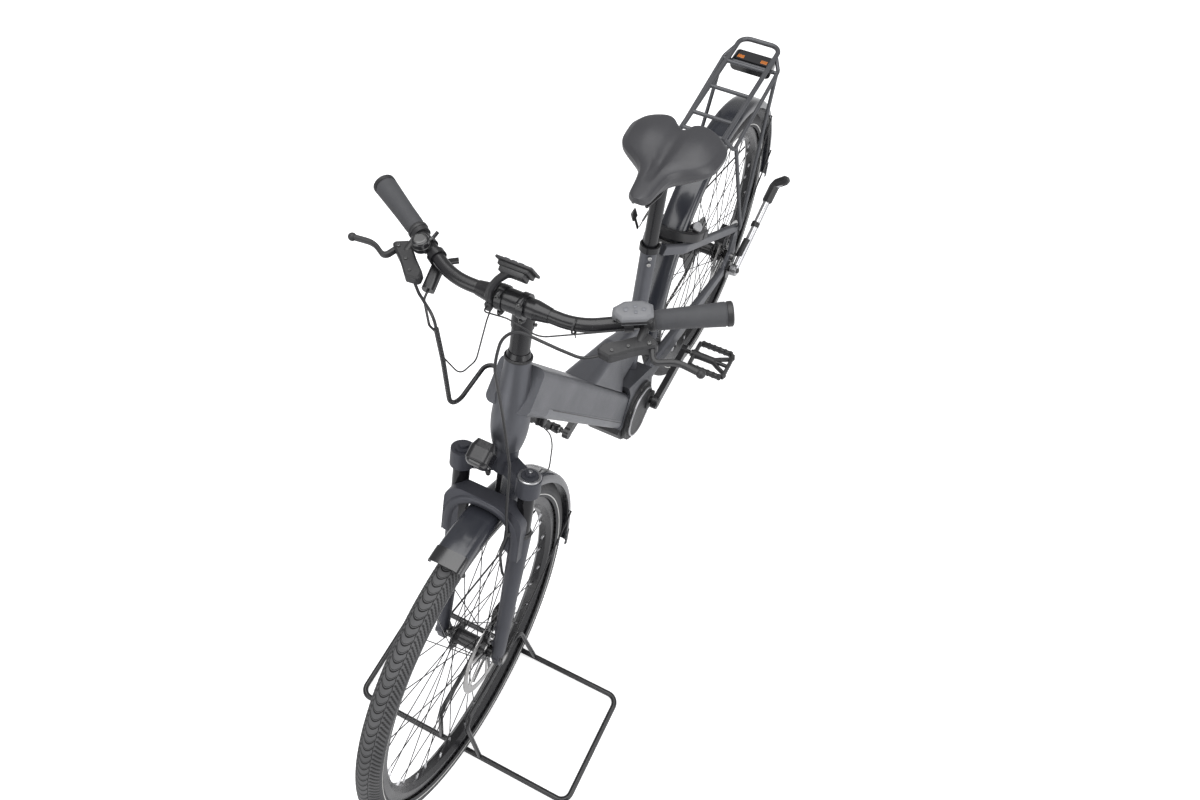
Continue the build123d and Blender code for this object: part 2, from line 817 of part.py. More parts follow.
with BuildPart() as battery_cover:
    add(down_tube_body.part)
    with BuildSketch(side_plane(-60)):
        with BuildLine():
            Polyline(
                down_point(cover_first + 0.5, cover_top - 0.5), down_point(cover_last + 20, cover_top - 0.5),
                down_point(cover_last + 20, -half_depth - 5), down_point(cover_first + 0.5, -half_depth - 5),
                close=True,
            )
        make_face()
    extrude(amount=120, mode=Mode.INTERSECT)
finish(battery_cover, "battery_cover")

crank_boss = 30
motor_left = 50
motor_right = -41
cover_left = 57
with BuildPart() as motor:
    with BuildSketch(side_plane(motor_right)):
        with Locations((motor_y, motor_z)):
            Circle(motor_radius)
        with Locations((crank_y, crank_z)):
            Circle(crank_boss)
    extrude(amount=motor_left - motor_right)
    with BuildSketch(side_plane(motor_left)):
        with Locations((motor_y, motor_z)):
            Circle(motor_radius - 12)
    extrude(amount=cover_left - motor_left, taper=25)
    with BuildSketch(side_plane(motor_left)):
        with Locations((crank_y, crank_z)):
            Circle(crank_boss - 6)
    extrude(amount=crank_face - move_gap - motor_left)
    with BuildSketch(side_plane(-64)):
        with Locations((crank_y, crank_z)):
            Circle(9 + running_gap)
    extrude(amount=128, mode=Mode.SUBTRACT)
finish(motor, "motor")


def motor_room(gap):
    """The motor's outline with a gap round it, to cut out of the pieces about it."""
    with BuildPart() as room:
        with BuildSketch(side_plane(-90)):
            with Locations((motor_y, motor_z)):
                Circle(motor_radius + gap)
            with Locations((crank_y, crank_z)):
                Circle(crank_boss + gap)
        extrude(amount=180)
    return room.part


bridge_top_y = 618
bridge_rear_y = 752
with BuildPart() as motor_bridge:
    with BuildSketch(side_plane(-shell_half)):
        with BuildLine():
            Polyline(
                down_point(down_end_top + 1, half_depth), down_point(down_end_low + 1, -half_depth),
                (motor_y, motor_z), side_point(bridge_rear_y, 300.5), side_point(bridge_rear_y, 370),
                side_point(735, 384), side_point(bridge_top_y + 6, 449), close=True,
            )
        make_face()
    extrude(amount=2 * shell_half)
    add(motor_room(seat_gap), mode=Mode.SUBTRACT)
finish(motor_bridge, "motor_bridge")

bridge_low = down_point(down_end_low + 1, -half_depth)
with BuildPart() as belly_cover:
    with BuildSketch(side_plane(-shell_half + 3)):
        with BuildLine():
            Polyline(
                (bridge_low[0], bridge_low[1] - 1), side_point(572, 326), side_point(588, 284),
                side_point(622, 244), side_point(664, 229), side_point(716, 238), side_point(750, 272),
                side_point(bridge_rear_y, 300 - 0.5), (motor_y, motor_z - 1), close=True,
            )
        make_face()
    extrude(amount=2 * shell_half - 6)
    add(motor_room(seat_gap), mode=Mode.SUBTRACT)
finish(belly_cover, "belly_cover")

# seat tube with its gusset down to the down tube
seat_angle = 73.8
seat_dir = Vector(0, math.cos(math.radians(seat_angle)), math.sin(math.radians(seat_angle)))
seat_foot = Vector(0, front_y + 712, 390)
seat_collar_along = (716 - seat_foot.Z) / seat_dir.Z


def seat_plane(along):
    return Plane(origin=seat_foot + seat_dir * along, x_dir=(1, 0, 0), z_dir=seat_dir)


with BuildPart() as seat_tube:
    with BuildSketch(seat_plane(-20)):
        Circle(seat_tube_radius)
    extrude(amount=seat_collar_along + 12)
    gusset_foot = Plane(
        origin=down_head + down_dir * 448 + down_up * (half_depth + 0.2), x_dir=(1, 0, 0), z_dir=down_up
    )
    with BuildSketch(gusset_foot):
        RectangleRounded(70, 256, 20)
    with BuildSketch(Plane(origin=(0, front_y + 636, 516), x_dir=(1, 0, 0), z_dir=(0, 1, 0.06))):
        RectangleRounded(44, 148, 14)
    with BuildSketch(Plane(origin=(0, front_y + 731, 470), x_dir=(1, 0, 0), z_dir=(0, 0.9, -0.43))):
        RectangleRounded(34, 92, 12)
    loft(ruled=True)
    with BuildSketch(side_plane(-60)):
        with BuildLine():
            Polyline(
                side_point(bridge_top_y, 453), side_point(735, 384.6), side_point(735, 300),
                side_point(600, 300), close=True,
            )
        make_face()
    extrude(amount=120, mode=Mode.SUBTRACT)
    with BuildSketch(seat_plane(seat_collar_along - 150)):
        Circle(seat_post_radius + running_gap)
    extrude(amount=200, mode=Mode.SUBTRACT)
finish(seat_tube, "seat_tube")

with BuildPart() as seat_clamp:
    with BuildSketch(seat_plane(seat_collar_along - 14)):
        Circle(seat_tube_radius + 4)
        Circle(seat_tube_radius + 0.1, mode=Mode.SUBTRACT)
    extrude(amount=14)
finish(seat_clamp, "seat_clamp")

# rear triangle
rear_plate = 67.3
plate_wall = 6
stay_end_x = rear_plate + plate_wall / 2


with BuildPart() as chain_stays:
    for side in (1, -1):
        front = Vector(side * 28, front_y + bridge_rear_y + seat_gap, 338)
        back = Vector(side * stay_end_x, rear_y - 57, 352)
        with BuildSketch(Plane(origin=front, x_dir=(1, 0, 0), z_dir=(0, 1, 0))):
            RectangleRounded(24, 54, 7)
        with BuildSketch(Plane(origin=back, x_dir=(1, 0, 0), z_dir=(0, 1, 0))):
            RectangleRounded(12, 30, 4)
        loft(ruled=True)
    # dropout plates: the axle's hole, and a shoulder up to the seat stay
    for side in (1, -1):
        start = rear_plate if side > 0 else -rear_plate - plate_wall
        with BuildSketch(side_plane(start)):
            with BuildLine():
                FilletPolyline(
                    (rear_y - 59.7, 336), (rear_y - 59.7, 368), (rear_y - 22, 392), (rear_y - 6, 440),
                    (rear_y + 22, 440), (rear_y + 26, 350), (rear_y + 8, 326), (rear_y - 30, 322),
                    radius=5, close=True,
                )
            make_face()
            with Locations((rear_y, axle_z)):
                Circle(axle_radius + running_gap, mode=Mode.SUBTRACT)
        extrude(amount=plate_wall)
finish(chain_stays, "chain_stays")

with BuildPart() as seat_stays:
    for side in (1, -1):
        points = [
            Vector(side * 21, front_y + 826, 688),
            Vector(side * 45, front_y + 892, 640),
            Vector(side * stay_end_x, rear_y + 9.4, 450.2),
        ]
        add(rounded_bar(points, 60, 12, 24, Vector(0, 0, 1)))
finish(seat_stays, "seat_stays")

bridge_radius = 5
bridge_out = Vector(0, front_y + 892 - rear_y, 640 - axle_z).normalized()
bridge_at = Vector(0, rear_y, axle_z) + bridge_out * (rear_guard_radius + bridge_radius + seat_gap)
with BuildPart() as rear_guard_stays:
    for side in (1, -1):
        eye = Vector(side * (rear_plate + plate_wall + stay_wire + seat_gap), rear_y + 23, 424)
        for angle in (-58, -84):
            add(guard_stay(side, rear_y, rear_guard_radius, angle, eye))
    add(rod(bridge_at - Vector(38, 0, 0), bridge_at + Vector(38, 0, 0), bridge_radius))
finish(rear_guard_stays, "rear_guard_stays")

with BuildPart() as rear_axle:
    with BuildSketch(side_plane(-rear_plate - plate_wall - 8)):
        with Locations((rear_y, axle_z)):
            Circle(axle_radius)
    extrude(amount=2 * (rear_plate + plate_wall + 8))
    for side in (1, -1):
        nut_start = side * (rear_plate + plate_wall + 0.1)
        with BuildSketch(Plane(origin=(nut_start, rear_y, axle_z), z_dir=(side, 0, 0))):
            Circle(9)
        extrude(amount=8)
finish(rear_axle, "rear_axle")

# ---------------------------------------------------------------- brakes
def make_caliper(name, y, z, rotor_x, turn, length, height, inner_x, outer_x):
    """A brake caliper: a rounded block with a slot for its disc."""
    slot = rotor_thickness + 2 * move_gap
    with BuildPart() as caliper:
        with BuildSketch(side_plane(inner_x)):
            with Locations(Location((y, z, 0), (0, 0, turn))):
                RectangleRounded(length, height, 9)
        extrude(amount=outer_x - inner_x)
        with BuildSketch(side_plane(rotor_x + rotor_thickness / 2 - slot / 2)):
            with Locations((y_axle_of(name), axle_z)):
                Circle(rotor_radius + move_gap)
        extrude(amount=slot, mode=Mode.SUBTRACT)
    finish(caliper, name)


def y_axle_of(name):
    return front_y if name.startswith("front") else rear_y


make_caliper("front_caliper", *caliper_middle, rotor_front_x, 65, 62, 38, 24, 56)
make_caliper("rear_caliper", rear_y - 18, 436, rotor_rear_x, 8, 54, 36, 38, 61)

# ---------------------------------------------------------------- drive
chain_x = cassette_x - sprocket_pitch * 5.5
chain_width = 5.6
chain_depth = 8
ring_radius = 78.4
pulley_radius = 20
chain_clear = 0.6
with BuildPart() as crankset:
    with BuildSketch(Plane(origin=(-crank_face, crank_y, crank_z), x_dir=(0, 1, 0), z_dir=(1, 0, 0))):
        Circle(9)
    extrude(amount=2 * crank_face)
    for side in (1, -1):
        arm_start = (side * crank_face, crank_y, crank_z)
        arm_plane = Plane(origin=arm_start, x_dir=(0, side, 0), z_dir=(side, 0, 0))
        with BuildSketch(arm_plane):
            Circle(17)
            with Locations((crank_length, 0)):
                Circle(14)
            Polygon((0, 15), (0, -15), (crank_length, -12), (crank_length, 12), align=None)
        extrude(amount=14)
        pedal_place = Plane(
            origin=(side * crank_face, crank_y + side * crank_length, crank_z), z_dir=(side, 0, 0)
        )
        with BuildSketch(pedal_place):
            Circle(5)
        extrude(amount=118)
    with BuildSketch(side_plane(chain_x - 1.2)):
        with Locations((crank_y, crank_z)):
            Circle(ring_radius)
            Circle(ring_radius - 16, mode=Mode.SUBTRACT)
            with PolarLocations((ring_radius - 8) / 2 + 6, 4, start_angle=45):
                Rectangle(ring_radius - 24, 18)
            Circle(22)
            Circle(8.9, mode=Mode.SUBTRACT)
    extrude(amount=2.4)
    with BuildSketch(side_plane(-crank_face)):
        with Locations((crank_y, crank_z)):
            Circle(18)
            Circle(8.9, mode=Mode.SUBTRACT)
    extrude(amount=crank_face + chain_x)
finish(crankset, "crankset")

# pedals: an open cage with crossed arms round the axle's barrel; the right one rests tipped back
cage_length = 96
cage_width = 92
cage_rail = 8
cage_height = 22
pedal_tip = {"left": 0, "right": 60}
for side, place in ((1, "left"), (-1, "right")):
    pedal_y = crank_y + side * crank_length
    tip = math.radians(pedal_tip[place])
    cage_up = Vector(0, math.sin(tip), math.cos(tip))
    pedal_middle = Vector(side * pedal_reach, pedal_y, crank_z)
    with BuildPart() as pedal:
        cage_foot = pedal_middle - cage_up * (cage_height / 2)
        with BuildSketch(Plane(origin=cage_foot, x_dir=(1, 0, 0), z_dir=cage_up)):
            RectangleRounded(cage_length, cage_width, 10)
            RectangleRounded(cage_length - 2 * cage_rail, cage_width - 2 * cage_rail, 5, mode=Mode.SUBTRACT)
        extrude(amount=cage_height)
        with BuildSketch(Plane(origin=pedal_middle - cage_up * 6, x_dir=(1, 0, 0), z_dir=cage_up)):
            for cross in (1, -1):
                with Locations(Location((0, 0, 0), (0, 0, cross * 43))):
                    Rectangle(cage_length + 14, 10)
        extrude(amount=12)
        with BuildSketch(Plane(origin=(side * (pedal_reach - 54), pedal_y, crank_z), z_dir=(side, 0, 0))):
            Circle(10)
        extrude(amount=90)
        with BuildSketch(Plane(origin=(side * (pedal_reach - 60), pedal_y, crank_z), z_dir=(side, 0, 0))):
            Circle(5 + running_gap)
        extrude(amount=101.5, mode=Mode.SUBTRACT)
    finish(pedal, f"pedal_{place}")

# the chain's way: chainring, lower pulley, upper pulley, sprocket; the upper pulley is wrapped backwards
drive_sprocket = 17 * 12.7 / math.tau + 1
guide_at = (rear_y + 10, 289)
tension_at = (rear_y + 26, 236)
wraps = [
    ((crank_y, crank_z), ring_radius),
    (tension_at, pulley_radius),
    (guide_at, -pulley_radius),
    ((rear_y, axle_z), drive_sprocket),
]


def wrap_line(sign_radius):
    """The chain's middle line round a wheel, with the wheel's sense."""
    return sign_radius + math.copysign(chain_clear + chain_depth / 2, sign_radius)


def run_angle(first, second):
    """The direction from a wheel's middle to where the straight run to the next one leaves it."""
    (first_at, first_radius), (second_at, second_radius) = first, second
    across = second_at[0] - first_at[0]
    rise = second_at[1] - first_at[1]
    spread = math.acos((wrap_line(first_radius) - wrap_line(second_radius)) / math.hypot(across, rise))
    return math.degrees(math.atan2(rise, across) - spread)


with BuildPart() as chain:
    with BuildLine(side_plane(chain_x)) as chain_path:
        leave = [run_angle(wraps[k], wraps[(k + 1) % 4]) for k in range(4)]
        ends = []
        for k, (middle, radius) in enumerate(wraps):
            line_radius = abs(wrap_line(radius))
            turn = 0 if radius > 0 else 180
            sweep_angle = (leave[k] - leave[k - 1]) % 360
            if radius < 0:
                sweep_angle = -((leave[k - 1] - leave[k]) % 360)
            ends.append(CenterArc(middle, line_radius, leave[k - 1] + turn, sweep_angle))
        for k in range(4):
            Line(ends[k] @ 1, ends[(k + 1) % 4] @ 0)
    start = ends[0] @ 0
    with BuildSketch(Plane(origin=start, x_dir=(1, 0, 0), z_dir=ends[0] % 0)):
        Rectangle(chain_width, chain_depth)
    sweep(path=Wire(chain_path.edges()))
finish(chain, "chain")

with BuildPart() as derailleur:
    for cage_x in (chain_x + chain_width / 2 + 1.5, chain_x - chain_width / 2 - 3.5):
        with BuildSketch(side_plane(cage_x)):
            with BuildLine():
                FilletPolyline(
                    (guide_at[0] - 14, guide_at[1] + 12), (guide_at[0] + 14, guide_at[1] + 12),
                    (tension_at[0] + 13, tension_at[1] - 4), (tension_at[0] + 2, tension_at[1] - 13),
                    (tension_at[0] - 12, tension_at[1] - 6), radius=6, close=True,
                )
            make_face()
        extrude(amount=2)
    for middle in (guide_at, tension_at):
        with BuildSketch(side_plane(chain_x - 1.1)):
            with Locations(middle):
                Circle(pulley_radius)
        extrude(amount=2.2)
        with BuildSketch(side_plane(chain_x - 7)):
            with Locations(middle):
                Circle(4)
        extrude(amount=14)
    with BuildSketch(side_plane(chain_x - 25)):
        with BuildLine():
            FilletPolyline(
                (rear_y + 4, 318), (rear_y + 26, 318), (rear_y + 28, 300),
                (guide_at[0] + 8, guide_at[1] - 12), (guide_at[0] - 12, guide_at[1] - 6),
                (guide_at[0] - 12, 306), radius=5, close=True,
            )
        make_face()
    extrude(amount=20)
    with BuildSketch(side_plane(-rear_plate - plate_wall - 0.3)):
        with Locations((rear_y + 15, axle_z - 30)):
            RectangleRounded(16, 40, 7)
    extrude(amount=-8)
finish(derailleur, "derailleur")

# chain guard: a plate beside the chain with a thin roof turned in over it
cover_radius = 91
cover_wall = 2.5
cover_x = -(crank_face - move_gap)
cover_turn = 72
cover_tail = side_point(958, 379)
cover_ridge = [side_point(738, 413), side_point(801, 427), side_point(901, 403), cover_tail]
cover_window = 58
with BuildPart() as chain_guard:
    with BuildSketch(side_plane(cover_x)):
        with BuildLine():
            front_arc = CenterArc((crank_y, crank_z), cover_radius, 180, -cover_turn)
            Spline(front_arc @ 1, *cover_ridge)
            Line(cover_tail, (cover_tail[0] - 8, cover_tail[1] - 9))
            Line((cover_tail[0] - 8, cover_tail[1] - 9), (crank_y, crank_z + cover_window))
            CenterArc((crank_y, crank_z), cover_window, 90, 90)
            Line((crank_y - cover_window, crank_z), front_arc @ 0)
        make_face()
    extrude(amount=2)
    with BuildSketch(side_plane(cover_x)):
        with BuildLine():
            outer_arc = CenterArc((crank_y, crank_z), cover_radius, 180, -cover_turn)
            Spline(outer_arc @ 1, *cover_ridge)
            Line(cover_tail, (cover_tail[0] - 2, cover_tail[1] - cover_wall))
            under_ridge = [(y, z - cover_wall) for y, z in cover_ridge[:-1]]
            inner_arc = CenterArc((crank_y, crank_z), cover_radius - cover_wall, 180, -cover_turn)
            Spline(inner_arc @ 1, *under_ridge, (cover_tail[0] - 2, cover_tail[1] - cover_wall))
            Line(inner_arc @ 0, outer_arc @ 0)
        make_face()
        with Locations(side_point(892, 400)):
            Rectangle(120, 120, align=(Align.MIN, Align.CENTER), mode=Mode.SUBTRACT)
    extrude(amount=-shell_half - seat_gap - cover_x)
finish(chain_guard, "chain_guard")

# ---------------------------------------------------------------- rack and rear fittings
rack_front = front_y + 1057
rack_rear = front_y + 1404
leg_foot_side = stay_end_x + 6 + rack_tube + seat_gap
eyelet_z = 462
with BuildPart() as rack:
    top = rack_height
    w = rack_half_width
    add(
        round_bar(
            [
                Vector(w, rack_front, top), Vector(w, rack_rear, top),
                Vector(-w, rack_rear, top), Vector(-w, rack_front, top),
            ],
            24, rack_tube,
        )
    )
    for y in (1062, 1116, 1212, 1309):
        add(rod((-w, front_y + y, top), (w, front_y + y, top), rack_tube - 1))
    for side in (1, -1):
        rail_front = Vector(side * 66, front_y + 1088, 768)
        rail_rear = Vector(side * 66, front_y + 1345, 795)
        add(
            round_bar(
                [
                    Vector(side * w, front_y + 1064, top), rail_front,
                    rail_rear, Vector(side * w, front_y + 1372, top),
                ],
                [14, 14], rack_tube - 1,
            )
        )
        foot = Vector(side * leg_foot_side, rear_y + 7, eyelet_z)
        add(rod(rail_rear - Vector(0, 12, 1.3), foot, rack_tube - 1))
        add(rod(rail_front + Vector(0, 12, 1.3), foot, rack_tube - 1))
        with BuildSketch(side_plane(side * leg_foot_side - 2.5)):
            with Locations((foot.Y, foot.Z)):
                Circle(10)
        extrude(amount=5)
    cross_y = front_y + 1338
    add(rod((-66, cross_y, 794.3), (66, cross_y, 794.3), rack_tube - 1))
finish(rack, "rack")

lamp_front = cross_y + rack_tube - 1 + seat_gap
with BuildPart() as tail_light:
    with BuildSketch(Plane(origin=(0, lamp_front, 784), x_dir=(-1, 0, 0), z_dir=(0, 1, 0))):
        RectangleRounded(98, 34, 12)
    extrude(amount=36)
    fillet(tail_light.faces().sort_by(Axis.Y)[-1].edges(), 5)
finish(tail_light, "tail_light")

stay_fall = math.atan2(640 - 452, rear_y + 7 - front_y - 892)
lock_out = Vector(0, -math.cos(stay_fall), math.sin(stay_fall))
lock_along = Vector(0, math.sin(stay_fall), math.cos(stay_fall))
lock_place = Vector(0, front_y + 930, 615) + lock_along * 22
with BuildPart() as ring_lock:
    with BuildSketch(Plane(origin=lock_place - lock_along * 9, x_dir=(-1, 0, 0), z_dir=lock_along)):
        Circle(62)
        with Locations((0, -25)):
            Rectangle(124, 50)
        Circle(42, mode=Mode.SUBTRACT)
        with Locations((0, -40)):
            Rectangle(84, 80, mode=Mode.SUBTRACT)
        with Locations((-52, -40), (52, -40)):
            Rectangle(22, 30)
    extrude(amount=18)
finish(ring_lock, "ring_lock")

# ---------------------------------------------------------------- kickstand
hinge_at = Vector(88, front_y + 1150, 330)
hinge_axis = Vector(-1, 0, -0.09).normalized()
foot_at = Vector(105, front_y + 1362, 450)
with BuildPart() as kickstand_bracket:
    with BuildSketch(side_plane(rear_plate + plate_wall + seat_gap)):
        with BuildLine():
            FilletPolyline(
                side_point(1122, 326), side_point(1124, 352), side_point(1150, 356),
                side_point(1172, 334), side_point(1170, 306), side_point(1136, 304), radius=6, close=True,
            )
        make_face()
    extrude(amount=5)
    with BuildSketch(Plane(origin=hinge_at + hinge_axis * 12, z_dir=hinge_axis)):
        Circle(8)
    extrude(amount=-21)
finish(kickstand_bracket, "kickstand_bracket")

with BuildPart() as kickstand:
    with BuildSketch(Plane(origin=hinge_at + hinge_axis * 5, z_dir=hinge_axis)):
        Circle(15)
    extrude(amount=-16)
    shaft_start = hinge_at + (foot_at - hinge_at) * 0.02 - hinge_axis * 4
    add(rod(shaft_start, foot_at - (foot_at - hinge_at) * 0.16, 9))
    add(
        round_bar(
            [
                foot_at - (foot_at - hinge_at) * 0.17, foot_at,
                foot_at + Vector(24, 4, 22),
            ],
            16, 11,
        )
    )
    with BuildSketch(Plane(origin=hinge_at + hinge_axis * 40, z_dir=hinge_axis)):
        Circle(8 + running_gap)
    extrude(amount=-80, mode=Mode.SUBTRACT)
finish(kickstand, "kickstand")

# ---------------------------------------------------------------- display stand
base_inner = 50
holder_wire = 5
with BuildPart() as stand:
    for side in (1, -1):
        corners = [
            Vector(side * base_inner, front_y - stand_front, stand_wire),
            Vector(side * stand_half_width, front_y - stand_front, stand_wire),
            Vector(side * stand_half_width, front_y + stand_back, stand_wire),
            Vector(side * base_inner, front_y + stand_back, stand_wire),
        ]
        add(round_bar(corners, 22, stand_wire))
        top_front = Vector(side * holder_half_width, front_y - stand_front + 15, holder_height)
        top_back = Vector(side * holder_half_width, front_y + stand_back - 10, holder_height)
        add(round_bar([corners[0], top_front, top_back, corners[3]], 30, holder_wire))
        for corner_at in (corners[0], corners[3]):
            with Locations(Location(corner_at)):
                Sphere(stand_wire)
    for y in (front_y - stand_front, front_y + stand_back):
        add(rod((-base_inner, y, stand_wire), (base_inner, y, stand_wire), stand_wire))
finish(stand, "stand")

# ---------------------------------------------------------------- saddle
rail_z = saddle_height - 45
saddle_stations = [
    (712, 18, 22), (734, 27, 31), (800, 37, 36), (856, 86, 38), (888, 106, 40), (930, 97, 38), (957, 74, 28),
]
with BuildPart() as saddle:
    for y, half, depth in saddle_stations:
        top_z = saddle_height - 3
        with BuildSketch(Plane(origin=(0, front_y + y, top_z - depth / 2), x_dir=(1, 0, 0), z_dir=(0, 1, 0))):
            RectangleRounded(2 * half, depth, depth * 0.45 if half > depth * 0.5 else half * 0.8)
    loft(ruled=True)
    with BuildSketch(Plane(origin=(0, front_y + 972, saddle_height), z_dir=(0, 0, -1))):
        Ellipse(22, 32)
    extrude(amount=60, mode=Mode.SUBTRACT)
finish(saddle, "saddle")

# seat post with its rail clamp and the saddle's rails
post_top = (860 - seat_foot.Z) / seat_dir.Z
post_insert = 140
rails = []
for side in (1, -1):
    rails.append(
        round_bar(
            [
                Vector(side * 14, front_y + 746, rail_z + 2.6),
                Vector(side * 22, front_y + 790, rail_z - 2.3),
                Vector(side * 22, front_y + 900, rail_z - 2.3),
                Vector(side * 40, front_y + 930, rail_z - 1.6),
            ],
            18, 3.5,
        )
    )
with BuildPart() as seat_post:
    with BuildSketch(seat_plane(seat_collar_along - post_insert)):
        Circle(seat_post_radius)
    extrude(amount=post_top - seat_collar_along + post_insert)
    with BuildSketch(Plane(origin=(0, front_y + 856, rail_z - 21), z_dir=(0, 0, 1))):
        RectangleRounded(56, 44, 8)
    extrude(amount=21)
    add(rails)
finish(seat_post, "seat_post")

# ---------------------------------------------------------------- hoses and cables
hose_radius = 2.5
sleeve_radius = 4
wire_radius = 1.25


def fit_vectors(points):
    """Points given with Y from the front axle."""
    return [Vector(x, front_y + y, z) for x, y, z in points]


caliper_top = Vector(47, *caliper_middle) + caliper_up * (31 + seat_gap)
front_hose_route = fit_vectors(
    [
        (155.8, 265.8, 1078), (139.1, 251.5, 1078), (100, 247, 1086), (16, 246, 1095), (22, 196, 1060),
        (19, 199, 905), (45, 161, 830), (50, 124, 742), (55, 108, 690), (45, 90, 638), (43, 86, 560),
    ]
) + [caliper_top + caliper_up * 60, caliper_top]
front_hose_bends = [40, 60, 28, 40, 80, 100, 120, 80, 80, 100, 60]
front_hose = round_bar(front_hose_route, front_hose_bends, hose_radius)
with BuildPart() as front_brake_hose:
    add(front_hose)
finish(front_brake_hose, "front_brake_hose")

# from the right lever and shifter down in a sleeve, and into the down tube's right side
port_x = -down_tube_width / 2 - 0.5
sleeve_route = fit_vectors(
    [(-92, 219, 1056), (-85, 209, 991), (-84, 197, 862), (-76, 302, 874), (port_x, 302, 874)]
)
sleeve = round_bar(sleeve_route, [60, 30, 16], sleeve_radius)
right_hose_route = fit_vectors(
    [(-155.8, 265.8, 1078), (-139.1, 251.5, 1078), (-94.5, 222.5, 1079), (-92.03, 219, 1056.3)]
)
right_hose = round_bar(right_hose_route, [40, 18], hose_radius)
shifter_exit = (shifter_nose - shifter_heel).normalized()
shifter_route = [shifter_nose + shifter_exit * seat_gap, shifter_nose + shifter_exit * 16] + fit_vectors(
    [(-112, 227.3, 1042.5), (-95, 219.5, 1045.5)]
)
shifter_cable = round_bar(shifter_route, [14, 12], 2)
with BuildPart() as cables_right:
    add(sleeve)
    add(right_hose)
    add(shifter_cable)
finish(cables_right, "cables_right")

# thin wires of the display: from the control unit along the bar, and from the clamp down to the sleeve
unit_wire_route = fit_vectors(
    [
        (172.1, 319.1, 1086.5), (110, 283.9, 1081.7), (66, 256, 1082), (10, 260, 1091), (-31.5, 260, 1084),
        (-31.5, 276.4, 1082),
    ]
)
sleeve_wire_route = fit_vectors(
    [(-31, 280.9, 1069.2), (-31, 264.9, 1057.2), (-24, 214, 1022), (-44, 194, 998), (-81.7, 208.8, 999.8)]
)
unit_wire = round_bar(unit_wire_route, [30, 40, 40, 8], wire_radius)
sleeve_wire = round_bar(sleeve_wire_route, [12, 20, 16], wire_radius)
with BuildPart() as display_wires:
    add(unit_wire)
    add(sleeve_wire)
finish(display_wires, "display_wires")

# a wire from the down tube's underside to the left end of the crown
left_clamp_back = steer_point(leg_x, -crown_offset + stanchion_radius + 7 + 0.4, 445)
crown_wire_route = fit_vectors([(20, 303.6, 766.7), (20, 295.2, 761.3), (34, 316, 690), (60, 250, 690)]) + [
    left_clamp_back + steering.y_dir * 26,
    left_clamp_back,
]
crown_wire_solid = round_bar(crown_wire_route, [5, 22, 30, 12], wire_radius)
with BuildPart() as crown_wire:
    add(crown_wire_solid)
finish(crown_wire, "crown_wire")
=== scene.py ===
import bpy, bmesh, math
from mathutils import Matrix, Vector


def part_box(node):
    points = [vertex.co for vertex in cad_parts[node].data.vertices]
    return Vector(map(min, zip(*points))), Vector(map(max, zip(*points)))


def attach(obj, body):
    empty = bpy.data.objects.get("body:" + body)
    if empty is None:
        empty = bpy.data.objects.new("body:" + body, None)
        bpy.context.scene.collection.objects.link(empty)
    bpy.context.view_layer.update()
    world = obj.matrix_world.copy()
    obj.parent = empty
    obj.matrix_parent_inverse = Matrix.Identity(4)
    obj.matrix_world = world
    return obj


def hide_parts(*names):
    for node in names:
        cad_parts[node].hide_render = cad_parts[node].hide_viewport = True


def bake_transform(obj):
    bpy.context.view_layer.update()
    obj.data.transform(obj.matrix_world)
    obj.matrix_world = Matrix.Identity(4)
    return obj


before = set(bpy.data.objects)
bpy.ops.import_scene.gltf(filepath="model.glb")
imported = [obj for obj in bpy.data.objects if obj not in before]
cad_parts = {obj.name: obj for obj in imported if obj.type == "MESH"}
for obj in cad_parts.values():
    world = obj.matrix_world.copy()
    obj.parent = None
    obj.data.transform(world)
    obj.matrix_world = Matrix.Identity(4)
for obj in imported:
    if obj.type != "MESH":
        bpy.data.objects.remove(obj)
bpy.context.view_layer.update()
scene = bpy.context.scene
scene.view_settings.view_transform = "Standard"
print("frame loaded")

tau = math.tau
frontAxle = sum(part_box("front_hub"), Vector()) / 2
rearAxle = sum(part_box("rear_hub"), Vector()) / 2
weld = 0.00001    # corners nearer than this become one
onAxis = 0.00001  # radius at which a turned profile meets its axis


def fromFront(x, y, z):
    # y is counted back from the front axle
    return Vector((x, frontAxle.y + y, z))


# ---- materials
def nodeOf(tree, kind, **settings):
    node = tree.nodes.new(kind)
    for key, value in settings.items():
        if hasattr(node, key):
            setattr(node, key, value)
        else:
            node.inputs[key].default_value = value
    return node


def noiseNode(tree, scale, detail=3, rough=0.5, stretch=(1, 1, 1), source="Object"):
    coords = nodeOf(tree, "ShaderNodeTexCoord")
    mapping = nodeOf(tree, "ShaderNodeMapping", Scale=stretch)
    noise = nodeOf(tree, "ShaderNodeTexNoise", Scale=scale, Detail=detail, Roughness=rough)
    tree.links.new(coords.outputs[source], mapping.inputs["Vector"])
    tree.links.new(mapping.outputs["Vector"], noise.inputs["Vector"])
    return noise


def rangeNode(tree, source, low, high, fromLow=0.3, fromHigh=0.7):
    node = nodeOf(tree, "ShaderNodeMapRange",
                  **{"From Min": fromLow, "From Max": fromHigh, "To Min": low, "To Max": high})
    tree.links.new(source, node.inputs["Value"])
    return node.outputs["Result"]


def mixNode(tree, factor, first, second):
    node = nodeOf(tree, "ShaderNodeMix", data_type="RGBA")
    tree.links.new(factor, node.inputs["Factor"])
    for socket, value in ((node.inputs[6], first), (node.inputs[7], second)):
        if isinstance(value, tuple):
            socket.default_value = (*value, 1)
        else:
            tree.links.new(value, socket)
    return node.outputs[2]


def bumpNode(tree, height, strength, distance, under=None):
    node = nodeOf(tree, "ShaderNodeBump", Strength=strength, Distance=distance)
    tree.links.new(height, node.inputs["Height"])
    if under:
        tree.links.new(under, node.inputs["Normal"])
    return node.outputs["Normal"]


